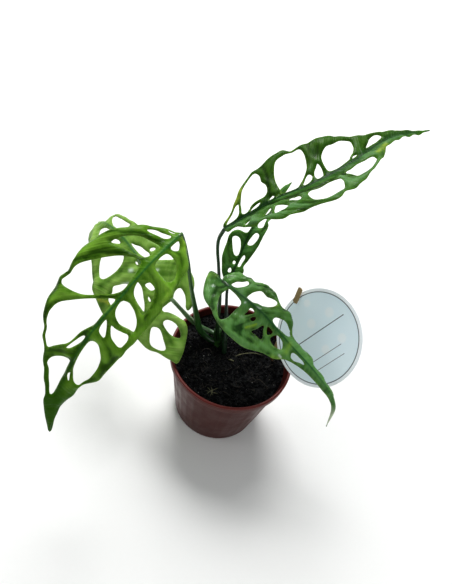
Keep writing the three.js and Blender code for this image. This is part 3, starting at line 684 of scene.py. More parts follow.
def makeFibreTree():
    tree, given, output = startTree("scatteredFibres", (
        ("Density", "Float", 1000.0), ("Shortest", "Float", 0.003), ("Longest", "Float", 0.009),
        ("Thickness", "Float", 0.025), ("Lean", "Float", 0.35), ("Seed", "Int", 2),
        ("Material", "Material", None)))
    points = wire(tree, "GeometryNodeDistributePointsOnFaces", Mesh=given["Geometry"],
                  Density=given["Density"], Seed=given["Seed"])
    bow = wire(tree, "GeometryNodeCurveQuadraticBezier", Resolution=6, Start=(-0.5, 0, 0),
               Middle=(0.0, 0.28, 0.1), End=(0.5, 0.05, 0.02))
    ring = wire(tree, "GeometryNodeCurvePrimitiveCircle", Resolution=4, Radius=1.0)
    strand = wire(tree, "GeometryNodeCurveToMesh", Curve=bow, Profile_Curve=ring,
                  Scale=given["Thickness"], Fill_Caps=True)
    tilt = given["Lean"]
    low = wire(tree, "ShaderNodeCombineXYZ", X=times(tree, tilt, -1.0), Y=times(tree, tilt, -1.0), Z=0.0)
    high = wire(tree, "ShaderNodeCombineXYZ", X=tilt, Y=tilt, Z=fullTurn)
    lean = wire(tree, "FunctionNodeRandomValue", {"data_type": "FLOAT_VECTOR"}, Seed=given["Seed"],
                Min=low, Max=high)
    turned = wire(tree, "FunctionNodeEulerToRotation", Euler=lean)
    size = wire(tree, "FunctionNodeRandomValue", {"data_type": "FLOAT"}, Min=given["Shortest"],
                Max=given["Longest"])
    spread = wire(tree, "GeometryNodeInstanceOnPoints", Points=points, Instance=strand,
                  Rotation=turned, Scale=size.outputs[1])
    smooth = wire(tree, "GeometryNodeSetShadeSmooth", Geometry=spread)
    lastNodes(tree, smooth, given["Material"], output)
    return tree


def makePeatMaterial():
    material, tree, shader = newMaterial("moistPeat", Specular_IOR_Level=0.18)
    first, second = soil["peat"]
    clouds = place(tree, cloudGroup, First=tone(*first), Second=tone(*second), Patch_Scale=260.0,
                   Patch_Share=0.8, Grain_Scale=2600.0, Grain=0.9)
    tree.links.new(clouds["Color"], shader.inputs["Base Color"])
    tree.links.new(ramp(tree, lumps(tree, 420.0), 0.38, 0.62, 0.32, 0.85), shader.inputs["Roughness"])
    bumpNormal(tree, shader, lumps(tree, 1400.0, 5.0, 0.65), 0.0005)
    return material


def makeStrawMaterial(name, first, second):
    material, tree, shader = newMaterial(name)
    clouds = place(tree, cloudGroup, First=tone(*first), Second=tone(*second), Patch_Scale=330.0,
                   Patch_Share=1.0, Grain_Scale=3000.0, Grain=0.5)
    tree.links.new(clouds["Color"], shader.inputs["Base Color"])
    tree.links.new(ramp(tree, clouds["Grain"], 0.3, 0.7, 0.5, 0.8), shader.inputs["Roughness"])
    bumpNormal(tree, shader, clouds["Grain"], 0.0002)
    return material


peatMaterial = makePeatMaterial()
fibreMaterial = makeStrawMaterial("brownFibre", *soil["fibre"])
strawMaterial = makeStrawMaterial("dryStraw", *soil["straw"])
speckAndGlintMaterial = makeStrawMaterial("paleSpeckAndGlint", *soil["pale"])
soilBed = makeSoilBed()
soilBed.data.materials.append(peatMaterial)
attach(soilBed, "root")
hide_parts("soil")


def soilPatch(reach):
    # only the top of the soil, for crumbs to lie on
    count = 1 + soil["segments"] * round(soil["rings"] * reach)
    faces = [list(p.vertices) for p in soilBed.data.polygons if max(p.vertices) < count]
    points = [v.co for v in soilBed.data.vertices][:count]
    return meshPiece("soilTopHost", points, faces)


crumbTree = makeCrumbTree()
small, large = (s * mm for s in soil["crumbRange"])
scattered = {
    "soilCrumbs": grown(soilPatch(0.97), crumbTree, Density=float(soil["crumbs"]), Smallest=small,
                        Largest=large, Flatness=0.75, Crumble=0.9 * mm, Seed=11, Material=peatMaterial),
    # pale specks: partly perlite and partly painted glints where the wet peat catches light
    "soilSpecksAndGlints": grown(soilPatch(0.95), crumbTree, Density=float(soil["specks"]), Smallest=0.2 * mm,
                        Largest=0.42 * mm, Flatness=0.6, Crumble=0.5 * mm, Seed=5, Material=speckAndGlintMaterial),
    "soilFibres": grown(soilPatch(0.9), makeFibreTree(), Density=float(soil["fibres"]), Shortest=3 * mm,
                        Longest=8.5 * mm, Thickness=0.018, Lean=0.4, Seed=4, Material=fibreMaterial),
}
for name, mesh in scattered.items():
    piece = bpy.data.objects.new(name, mesh)
    scene.collection.objects.link(piece)
    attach(piece, "root")
    print(name, len(mesh.polygons), "faces")

straws = {
    # radius, then points on the soil in millimetres with the height above it
    "longStraw": (0.34, [(2.8, 4.2, 0.7), (5.9, 7, 1.4), (10.7, 9.7, 1.9), (15.7, 11.6, 1.6),
                         (21.7, 12.7, 0.9)]),
    "shortChip": (0.5, [(-1, -0.6, 0.8), (0.8, -0.6, 1.2), (3.2, -0.9, 0.9)]),
    "strawOne": (0.28, [(-8.6, -28.4, 1.0), (-6, -30.6, 1.3), (-3, -33.4, 0.8)]),
    "strawTwo": (0.24, [(-7.4, -33.6, 0.8), (-5.2, -31, 1.4), (-1.4, -26.4, 0.9)]),
    "strawThree": (0.22, [(-9.4, -31.4, 0.9), (-5, -31.6, 1.3), (0.4, -30.8, 0.7)]),
    "strawFour": (0.22, [(-4.6, -34.6, 0.7), (-4.4, -31.2, 1.5), (-6.2, -27, 0.9)]),
    "rootletOne": (0.22, [(16.5, -11.7, 0.5), (19.5, -12.8, 1.6), (22.4, -10.6, 1.8), (20.6, -8.4, 1.2),
                          (18, -9.6, 0.4)]),
    "rootletTwo": (0.2, [(21, -9, 0.4), (24.6, -8.2, 1.6), (28.6, -9.6, 1.7), (33, -13, 0.6)]),
    "rootletThree": (0.2, [(-22, -2, 0.4), (-20, 1.5, 1.5), (-16.4, 2.6, 1.4), (-14, 0.6, 0.4)]),
    "rootletFour": (0.2, [(6, -18, 0.3), (8.6, -20.4, 1.3), (12.6, -20.2, 1.5), (15, -17.6, 0.5)]),
}
strawMeshes = []
for name, (radius, points) in straws.items():
    line = smoothCurve([(x, y, soilHeight(x, y) + lift) for x, y, lift in points], perSpan=8)
    taper = np.sin(np.linspace(0.12, math.pi - 0.12, len(line))) ** 0.4
    strawMeshes.append(tube(line * mm, radius * mm * taper,
                            fibreMaterial if name.startswith("rootlet") else strawMaterial,
                            Sides=7, Point_Spacing=0.6 * mm, Skin_Wobble=0.1 * mm, Wobble_Scale=900.0))
soilStraws = joined("soilStraws", strawMeshes)
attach(soilStraws, "root")
print("soil made")


# ---- leaf and stalk finishes

mapWidth = 200.0  # millimetres of blade in one unit of its map


def makeVeinGroup():
    # side veins that leave the midrib slantwise and bend towards the tip, from the blade's own map
    group, given, output = startGroup("sideVeins", (
        ("Spacing", "Float", 2.2), ("Lean", "Float", 0.55), ("Bend", "Float", 0.012),
        ("Width", "Float", 0.16), ("Waver", "Float", 0.5)),
        (("Veins", "Float"), ("Ridge", "Float"), ("Streaks", "Float")))
    uv = wire(group, "ShaderNodeUVMap", {"uv_map": "bladeMap"})
    apart = apartFrom(group, uv)
    along = times(group, apart["X"], mapWidth)
    across = sums(group, "ABSOLUTE", times(group, apart["Y"], mapWidth))
    slanted = sums(group, "SUBTRACT", along, times(group, across, given["Lean"]))
    bent = sums(group, "SUBTRACT", slanted, times(group, times(group, across, across), given["Bend"]))
    drift = lumps(group, 14.0, 2.0, vector=uv)
    wavered = sums(group, "MULTIPLY_ADD", drift, times(group, given["Waver"], 4.0), bent)
    turn = sums(group, "FRACT", sums(group, "DIVIDE", wavered, given["Spacing"]))
    away = sums(group, "ABSOLUTE", sums(group, "SUBTRACT", turn, 0.5))
    veins = ramp(group, away, sums(group, "SUBTRACT", 0.5, given["Width"]), 0.5)
    ridge = sums(group, "COSINE", times(group, turn, 2 * math.pi))
    # long soft streaks that run the veins' way
    ways = wire(group, "ShaderNodeCombineXYZ", X=times(group, wavered, 0.34), Y=times(group, apart["Y"], 9.0))
    streaks = ramp(group, lumps(group, 1.0, 3.0, 0.55, ways), 0.34, 0.68)
    group.links.new(streaks, output["Streaks"])
    group.links.new(veins, output["Veins"])
    group.links.new(ridge, output["Ridge"])
    return group


# of these tones the darkest is painted shade and the light one is painted light, and the two halves' greens
# carry painted light and shade
bladeTones = ("Left", "Right", "Patch", "Vein", "Rim", "Shadow", "Midrib", "Yellow", "Under", "Tip", "Light")


def makeBladeGroup():
    # the blade's tones laid over each other: halves with painted light and shade, patches, veins, a painted
    # highlight band and painted light and shade from the relief, rims, midrib, yellowing, tip, underside and
    # painted glints
    group, given, output = startGroup("bladeTones", (
        *((label, "Color", None) for label in (*bladeTones, "Glint")),
        ("Patch Share", "Float", 0.5), ("Streak Share", "Float", 0.5), ("Streaks", "Float", 0.0),
        ("Vein Share", "Float", 0.3), ("Veins", "Float", 0.0)),
        (("Color", "Color"),))
    patches = ramp(group, lumps(group, 55.0, 3.0, 0.55), 0.36, 0.66)
    blotches = ramp(group, lumps(group, 220.0), 0.3, 0.6, 0.45, 1.0)
    # painted light and shade: each half of the blade gets its own green, darker where that half lies in shade
    # and paler where it lies in light or shows sheen
    colour = blendTones(group, attribute(group, "leftHalf"), given["Right"], given["Left"])
    for value, strength, label in (
            (patches, given["Patch Share"], "Patch"),
            (given["Streaks"], given["Streak Share"], "Vein"),
            (given["Veins"], given["Vein Share"], "Vein"),
            # painted light and shade: a paled band inside the edges, darkened dips and paled swellings; the
            # glints further down are painted highlights
            (attribute(group, "edgeHighlight"), 0.5, "Rim"), (attribute(group, "hollowShade"), 0.85, "Shadow"),
            (attribute(group, "crest"), 0.6, "Light"), (attribute(group, "rim"), 0.4, "Rim"),
            (attribute(group, "midrib"), 1.0, "Midrib"),
            (attribute(group, "yellowing"), blotches, "Yellow"),
            (attribute(group, "tipward"), 1.0, "Tip"), (attribute(group, "underside"), 0.8, "Under"),
            (attribute(group, "glint"), 1.0, "Glint")):
        colour = blendTones(group, times(group, value, strength), colour, given[label])
    group.links.new(colour, output["Color"])
    return group


veinGroup = makeVeinGroup()
bladeGroup = makeBladeGroup()


glintTone = (0.75, 0.85, 0.78, 1)


def makeBladeMaterial(name, look):
    material, tree, shader = newMaterial(name, Subsurface_Weight=0.12, Subsurface_Scale=0.0012,
                                         Specular_IOR_Level=look["gloss"], Subsurface_Radius=(0.6, 1.0, 0.2))
    veins = place(tree, veinGroup, Spacing=look["veinSpacing"], Lean=0.55, Bend=0.012, Waver=0.45)
    tones = {label: tone(*look[label.lower()]) for label in bladeTones}
    blade = place(tree, bladeGroup, **tones, Glint=glintTone, Patch_Share=look["patchShare"],
                  Streak_Share=look["streakShare"], Streaks=veins["Streaks"], Vein_Share=0.06,
                  Veins=veins["Veins"])
    tree.links.new(blade["Color"], shader.inputs["Base Color"])
    rough = ramp(tree, lumps(tree, 130.0), 0.3, 0.7, look["roughness"] - 0.07, look["roughness"] + 0.09)
    tree.links.new(rough, shader.inputs["Roughness"])
    streaky = times(tree, veins["Streaks"], 2.2 * look["streakShare"])
    height = sums(tree, "ADD", times(tree, veins["Ridge"], look["veinDepth"]),
                  sums(tree, "MULTIPLY_ADD", lumps(tree, 1300.0), 0.3, streaky))
    bumpNormal(tree, shader, height, 0.00016)
    return material


def makeStalkMaterial(name, look):
    # fine lengthwise streaks, fading at the foot into a darker tone that is painted shade
    material, tree, shader = newMaterial(name, Coat_Weight=0.25, Coat_Roughness=0.25, Subsurface_Weight=0.2,
                                         Subsurface_Scale=0.002, Subsurface_Radius=(0.5, 1.0, 0.25))
    along = attribute(tree, "alongPath")
    turn = times(tree, attribute(tree, "aroundPath"), 2 * math.pi)
    where = wire(tree, "ShaderNodeCombineXYZ", X=times(tree, sums(tree, "SINE", turn), 3.0),
                 Y=times(tree, sums(tree, "COSINE", turn), 3.0), Z=times(tree, along, 40.0))
    streaks = lumps(tree, 3.0, 4.0, 0.6, where)
    green = blendTones(tree, ramp(tree, streaks, 0.35, 0.7), tone(*look["stalk"]), tone(*look["stalkLight"]))
    # painted shade: the foot of each stalk is darkened over its first 3 cm, down among the other stalks
    foot = ramp(tree, along, 0.004, 0.03, 0.85, 0.0)
    footShaded = blendTones(tree, foot, green, tone(*look["stalkFoot"]))
    tree.links.new(footShaded, shader.inputs["Base Color"])
    tree.links.new(ramp(tree, streaks, 0.3, 0.7, 0.3, 0.46), shader.inputs["Roughness"])
    bumpNormal(tree, shader, streaks, 0.0001)
    return material


# ---- leaves: each is a stalk, a midrib and a thin blade with its holes, curved about the midrib
# Blade points are (along the midrib, across it), plus being left on the way to the tip. Roll, fold
# and curl are degrees, curl for each millimetre outwards; the wave lifts and lowers the margins.
# Creases, ridges, yellowing and glints are soft strokes: (half width, strength, points). Creases and ridges
# also paint shade and light into the colour, and glints are painted highlights.

# In each look the two halves' greens carry painted light and shade, the light tone is painted light on
# swellings and ridges with a share for each half, the darkest tone is painted shade in dips and creases, and
# the stalk's foot tone is painted shade.
blades = {
    "step": 1.25, "thinnest": 1.3, "shrink": 0.05, "facingReach": 4.0, "halfThickness": (0.16, 0.32),
    "ribThickening": 0.1, "largeLumps": 8.5, "smallLumps": 3.6, "strokeRise": 0.35, "strokeSize": 1.8,
}

leafFrontLeft = {
    "piece": "leafFrontLeft", "node": "leaf_front_left", "slot": "leaf_fresh_green",
    "stalk": [(-13.4, 10.4, 66), (-17, 8.9, 67), (-23, 8.3, 70.6), (-28.2, 7.2, 78.2), (-31.8, 5, 92.8),
        (-36.8, 1.6, 115.6), (-41.2, -1.6, 136.8), (-45.1, -4.9, 158.9), (-48.6, -7.3, 174.9)],
    "stalkRadii": [1.7, 2.3, 2.4, 1.9, 1.5, 1.35, 1.25, 1.2, 1.1, 1.3],
    "midrib": [(-52, -9, 186), (-62, -37, 182), (-72, -60, 168), (-83, -79, 146), (-91, -95, 112),
        (-91, -108, 82)],
    "roll": (-24, -18), "fold": (16, 9), "curl": (0.45, 0.25),
    "waveHeight": 1.6, "waveLength": 34, "wavePhase": (0.1, 0.55),
    "left": [(0, 0), (1, 7), (6, 17), (12, 21), (22, 23), (32, 25), (41, 24), (49, 26), (62, 25),
        (78, 24), (92, 23), (99.9, 21.4), (105.6, 21), (110, 20), (113, 18.6), (117, 15),
        (119.8, 12.4), (123.9, 11), (130.4, 10), (137.7, 7), (143, 4), (149.5, 2.4), (155.6, 1.7),
        (160, 0.9), (161, 0)],
    "right": [(0, 0), (3, -8), (8, -15), (13, -21), (21, -26), (29, -32), (41, -36), (51, -37), (62, -36),
        (75, -38), (85, -35), (97, -30), (107, -24.4), (112.4, -20), (118.2, -17),
        (121.8, -14.2), (129.2, -9.6), (134.1, -7.4), (138.1, -7.4), (143.4, -6.4), (150.8, -4.4),
        (157.7, -2.4), (160.5, -1), (161, 0)],
    "holes": [
        [(11.4, 1.8), (8.8, 1.6), (6.2, 1.7), (4.2, 2.4), (4.1, 4), (5.6, 6), (6.6, 7), (9, 6),
         (11.1, 3.4)],
        [(16, 3), (14, 9), (16, 15), (22, 18), (27, 16), (28, 9), (27, 3)],
        [(41, 2), (37, 6), (37, 12), (42, 16), (50, 18), (55, 18), (53, 12), (48, 5)],
        [(56, 2), (54, 7), (59, 16), (67, 20), (68, 12), (64, 4)],
        [(71.4, 7), (71.4, 10), (70.5, 14), (70.1, 18.6), (72.6, 20), (76.6, 20.4), (79.9, 20),
         (80.7, 18.6), (79.5, 15), (77.1, 11), (74.2, 8.6)], [(70, 2), (75, 6), (80, 8), (78, 3)],
        [(87.2, 3), (86, 5), (86.8, 8), (90.1, 11), (95, 13.8), (99.9, 15), (106.8, 15), (113.7, 14),
         (118.2, 11.4), (121, 10), (120.8, 8.6), (118.6, 6.2), (114.9, 4.4), (110.4, 2.8), (103.9, 1.8),
         (97.8, 1.5), (92.5, 1.6), (89.3, 2)],
        [(13.1, -16), (10.7, -14.2), (8.6, -11), (7.8, -8), (6.6, -5), (5.6, -3), (7.4, -2.9), (9.5, -5),
         (10.7, -8), (11.9, -11), (13.1, -14)],
        [(4.2, -7.2), (2.5, -5), (1.4, -3), (1.4, -1.6), (2.9, -2.8), (4.2, -4.8)],
        [(16, -3), (18, -14), (24, -21), (33, -26), (31, -17), (27, -5), (21, -3)],
        [(31, -5), (35, -15), (45, -25), (55, -32), (66, -34), (74, -35), (70, -21), (59.5, -9),
         (55.9, -5.2), (53, -3.2), (50.6, -2), (47.3, -1.6), (43, -2.4), (38, -3)],
        [(57.4, -1.6), (58.9, -4.6), (61.8, -7.6), (66, -12.5), (76, -22), (85, -29), (96, -28),
         (107, -22.5), (110, -19.5), (106, -16), (101, -12), (98.2, -9.5), (95, -7.8), (89.7, -6.6),
         (85.6, -5.7), (81.5, -4), (77.5, -2.4), (72, -1.8), (64, -1.7)],
        [(99.5, -7.6), (98.6, -6), (95.4, -4), (90.9, -2.2), (87.6, -1.7), (86.4, -2.4), (86.8, -3.2),
         (88.5, -4.2), (92.5, -5.6), (97, -7)],
        [(117.4, -14.2), (114.5, -14.2), (111.7, -12.8), (108, -9), (106.4, -6), (106, -2.8), (107.2, -1.7),
         (112.9, -1.6), (121, -1.7), (128, -2.2), (133, -3.2), (133.6, -4.4), (131.6, -5.8),
         (125.5, -8.4), (121, -11.4)],
        [(113.4, 1), (113.6, 1.7), (115.3, 2.4), (118.2, 3.3), (119.6, 3.4), (117.6, 1.7), (115.4, 1)],
    ],
    "ribHalf": 1.25, "ribRise": 0.7, "rollDown": 1.3, "rollReach": 5, "pucker": 0.8, "ruffle": 0.9,
    "twist": 1.1, "shading": 0.5, "lumpShading": 0.5,
    "creases": [
        (1, 0.9, [(31.9, -33), (28.6, -30), (24.9, -25), (19.6, -20), (16.4, -15), (15.2, -11)]),
        (0.8, 0.7, [(31.9, -26), (27.4, -23), (22.5, -19), (18, -14)]),
        (2, 1, [(18, -11), (15.6, -8), (11.5, -5)]),
        (1.5, 0.9, [(50.2, -32), (45.3, -30), (40.4, -25), (35.5, -18), (31.9, -12), (27.4, -4)]),
        (1.5, 0.5, [(38.4, -27), (35.5, -22), (32.3, -17)]),
        (1.4, 1, [(64.4, -36), (59.5, -36), (54.7, -35), (50.6, -33)]),
        (1.8, 0.9, [(93.3, -30), (87.2, -33), (81.1, -36), (74.6, -37)]),
        (1, 0.8, [(87.6, -30), (84, -29), (79.5, -25)]),
        (1.3, 0.9, [(62, -10), (57.5, -5), (53, -2), (49.8, 0)]),
        (0.9, 0.8, [(62.4, -14), (58.7, -11), (55.9, -7)]),
        (1, 0.7, [(110, -17), (105.2, -11), (101.9, -6), (99, -1)]),
        (1.6, 0.9, [(84.4, -5), (79.9, -2), (74.2, -1)]),
        (2.4, 0.8, [(86, -1), (95.4, -1), (103.9, 0), (114.5, 0), (125.9, 0), (134.1, 0)]),
        (0.9, 0.5, [(79.9, 4), (81.5, 9), (85.2, 15), (90.5, 18)]),
        (2.4, 0.9, [(115.7, 14), (108, 18), (97.4, 19), (88.5, 21)]),
        (4.5, 0.9, [(138.5, -3), (147.9, -2), (158.5, -1)]),
        (0.8, 0.5, [(32.7, 2), (33.5, 7), (35.1, 12), (38.8, 16), (44.9, 19), (52.2, 21)]),
        (0.8, 0.5, [(8.6, 10), (11.5, 15), (17.2, 19), (24.1, 23)]),
        (1.3, 0.9, [(13.5, 0), (10.7, 5), (8.6, 9)]), (0.9, 0.7, [(56.7, 20), (51.8, 19), (46.9, 18)]),
        (1, 0.6, [(67.3, 5), (68.5, 13), (68.5, 20)]),
    ],
    "ridges": [
        (1.8, 0.8, [(42, -34), (36.7, -32), (32.7, -30), (28.2, -26)]),
        (1.2, 0.4, [(25.3, -28), (19.2, -24), (13.1, -20)]),
        (2.2, 0.9, [(51, -36), (45.7, -34), (40.4, -32), (35.5, -29)]),
        (1, 0.5, [(60.8, -34), (56.3, -34), (51.8, -32)]),
        (2.6, 0.9, [(83.6, -32), (79.9, -29), (75, -24), (68.5, -17)]),
        (0.9, 0.6, [(60.4, -13), (56.7, -10), (53.8, -7)]),
        (0.8, 0.7, [(108.8, -12), (104.7, -7), (102.7, -3)]),
        (1.6, 0.9, [(83.6, 3), (85.2, 8), (89.7, 13), (95, 17)]),
        (2, 0.5, [(131.6, 5), (123.9, 4), (117, 4)]),
        (0.9, 0.8, [(35.1, 0), (34.7, 5), (35.9, 10), (42, 16)]),
        (1.2, 0.9, [(29, 3), (30.2, 9), (30.2, 15), (30.2, 20)]),
        (1.6, 0.9, [(13.1, 5), (13.5, 11), (18, 16), (26.2, 21), (39.6, 22)]),
        (2, 1, [(5.8, 9), (7.4, 15), (11.1, 20)]),
        (1.2, 0.6, [(57.5, 19), (53.8, 14), (51.4, 9), (50.6, 5)]),
        (1, 0.6, [(50.6, 26), (57.1, 25), (63.2, 24)]), (0.8, 0.5, [(69.3, 4), (75.8, 9), (80.7, 15)]),
    ],
    "yellowing": [
        (1.2, 0.35, [(42.8, -24), (39.2, -20), (37.1, -16)]), (2, 0.25, [(131.6, 5), (123.9, 4), (117, 4)]),
        (1.6, 0.5, [(0.5, 1), (2.1, 5), (3.8, 8)]), (1.4, 0.3, [(31.9, 17), (34.3, 21), (40.8, 22)]),
        (1.3, 0.3, [(56.3, 16), (51.8, 13)]),
    ],
    "glints": [],
    "look": {
        "light": (128, 170, 64), "left": (86, 132, 28), "right": (40, 82, 0), "patch": (62, 110, 6),
        "vein": (86, 134, 24), "rim": (138, 176, 70), "midrib": (50, 104, 46), "yellow": (160, 198, 76),
        "under": (110, 156, 66), "shadow": (28, 62, 2), "tip": (52, 94, 6), "tipSpan": (0.64, 0.86),
        "ribFade": (0.42, 0.8), "crestLightShares": (1, 0.8), "stalk": (34, 74, 26), "stalkLight": (60, 104, 48),
        "stalkFoot": (14, 40, 20), "patchShare": 0.5, "streakShare": 0.5, "veinSpacing": 2.4,
        "veinDepth": 0.2, "gloss": 0.1, "roughness": 0.36,
    },
}

leafRearLeft = {
    "piece": "leafRearLeft", "node": "leaf_rear_left", "slot": "leaf_light_green",
    "stalk": [(-16.5, 13.2, 70.5), (-21, 14.1, 70.3), (-28, 13, 73), (-37, 9.5, 83), (-44, 7, 93)],
    "stalkRadii": [1.8, 2, 1.9, 1.7, 1.4, 1.6],
    "midrib": [(-51, 2, 107), (-71, 8, 116), (-91, 22, 122), (-103, 30, 122), (-114, 39, 117),
        (-123, 48, 107), (-129, 58, 95)],
    "roll": (-10, 0), "fold": (28, -20), "curl": (0.3, 0.4),
    "waveHeight": 1.8, "waveLength": 36, "wavePhase": (0.2, 0.7),
    "left": [(0, 0), (0.5, 5), (0.6, 9.5), (-1.2, 10.4), (-4, 8.3), (-9, 6), (-13.5, 4.8), (-17, 4.3),
        (-22, 7), (-28, 15), (-32, 22), (-34, 30), (-29, 32),
        (-21, 33), (-15, 36), (-7, 38), (3, 39), (14, 41), (27, 43), (37, 42), (47, 37), (58, 32),
        (69, 25), (78, 21), (87, 17), (95, 12), (101, 5), (109, 0)],
    "right": [(0, 0), (3, -6), (2, -10), (-3, -9), (-7, -6), (-10, -3), (-12.5, -2.5), (-12.5, -7),
        (-8, -12), (-2, -20), (4, -24), (14, -24), (24, -23), (33, -21), (40, -17), (51, -15), (64, -14),
        (75, -13), (84, -13), (91, -12), (94.5, -9), (93.5, -6.5), (90.5, -4.3), (91.5, -3),
        (96, -2.9), (103, -3), (109, 0)],
    "holes": [
        [(59, 22), (61, 17), (57, 11), (49, 7), (43, 11), (40, 20), (41, 30), (45, 31), (53, 28)],
        [(81, 10), (85, 5), (80, 2.5), (73, 2.5), (72, 7), (75, 11)],
        [(-8, 30), (-4, 24), (-8, 21), (-16, 24), (-22, 28), (-20, 31), (-13, 33)],
        [(-7, 16), (-7, 13), (-13, 10), (-20, 12), (-23, 15), (-16, 18)],
        [(27.4, 16), (26, 18.5), (24, 22), (19.3, 22.5), (13.7, 24), (8.5, 27.5), (3.5, 32), (2.9, 36.5),
         (7.6, 37.5), (13.1, 38), (17.8, 37), (21.5, 35.5), (24.9, 34.5), (27.4, 34), (29.5, 29),
         (31.7, 26), (30.5, 21.5), (29.2, 18)],
        [(25.5, 9.5), (22.4, 9), (18.7, 10.5), (15.3, 13), (11.5, 16), (8.2, 20.3), (10.5, 19.8),
         (16, 18.5), (20.6, 16.5), (23.3, 14), (24.9, 11.5)],
        [(20.6, 6.5), (20, 3.5), (18, 1.8), (14, 3.2), (15, 6), (16.8, 6.5)],
        [(13.5, 10.2), (11.5, 10.4), (9.6, 12), (11.5, 12)],
        [(31, -10.5), (27, -15), (22, -20.5), (27, -21.5), (32.5, -19), (35, -14), (33.6, -10.8)],
        [(50.5, -2.2), (48, -3.6), (44.7, -6), (41, -7.2), (37, -8.6), (35, -6.5), (38.8, -3.4), (45, -2)],
        [(40, -10.5), (39.6, -13.5), (38, -14.3), (37.6, -11.5), (38.3, -10.2)],
        [(66, 8.5), (62, 7.5), (56.5, 4), (58.5, 3.2), (63, 4.5)],
        [(37.5, 2.6), (35.8, 1.6), (34.6, 2.4), (36, 3.6)],
        [(76, -2.5), (84, -6), (87, -9), (73, -10), (64, -10.5), (64, -6), (67, -3)],
    ],
    "ribHalf": 1.1, "ribRise": 0.45, "rollDown": 1.2, "rollReach": 5, "pucker": 0.6, "ruffle": 0.7,
    "twist": 0.9, "shading": 0.4, "lumpShading": 0.55,
    "creases": [
        (0.9, 0.5, [(85.2, 16), (94.2, 8), (110.6, 0)]),
        (2.4, 0.7, [(37.9, 34), (37, 23), (38.8, 13), (39.1, 6)]),
        (1.5, 0.5, [(63.6, 27), (55.2, 33), (39.1, 40)]), (2, 0.7, [(26.7, 42), (27.4, 37), (27.7, 30)]),
        (1.2, 0.6, [(27.4, -10), (22.7, -15), (17.5, -19)]), (1, 0.5, [(19, -6), (13.1, -11), (10.6, -14)]),
        (1.5, 0.6, [(-7.6, 17), (-15.7, 19), (-22.5, 22)]),
    ],
    "ridges": [
        (1.6, 0.9, [(97.9, 3), (89.2, 9), (81.5, 16)]),
        (2, 0.7, [(31.4, 27), (32.6, 19), (33.2, 10), (34.2, 2)]),
        (0.8, 0.6, [(23.6, -6), (19.3, -11), (13.7, -15)]), (1.2, 0.5, [(-7.6, 10), (-13.5, 6),
        (-18.1, 6)]),
        (1.5, 0.4, [(-25.2, 19), (-27.1, 25), (-27.1, 29)]),
    ],
    "yellowing": [
        (0.8, 0.7, [(31.1, 41), (28.6, 37), (26.1, 35)]),
    ],
    "glints": [
        (1.2, 0.8, [(33.9, 9), (33.5, 8)]), (1, 0.7, [(23.6, -6), (23, -7)]),
        (0.8, 0.6, [(29.5, 21), (28, 15)]),
    ],
    "look": {
        "light": (150, 184, 96), "left": (90, 132, 42), "right": (92, 134, 44), "patch": (112, 150, 62),
        "vein": (138, 170, 88), "rim": (158, 186, 100), "midrib": (58, 104, 52), "yellow": (186, 190, 70),
        "shadow": (56, 96, 16), "tip": (150, 180, 110), "tipSpan": (0.93, 1), "ribFade": (0.6, 0.95),
        "crestLightShares": (1, 1), "under": (124, 162, 84), "stalk": (86, 118, 72), "stalkLight": (130, 152, 120),
        "stalkFoot": (52, 84, 48), "patchShare": 0.5, "streakShare": 0.25, "veinSpacing": 2.8,
        "veinDepth": 0.15, "gloss": 0.16, "roughness": 0.46,
    },
}

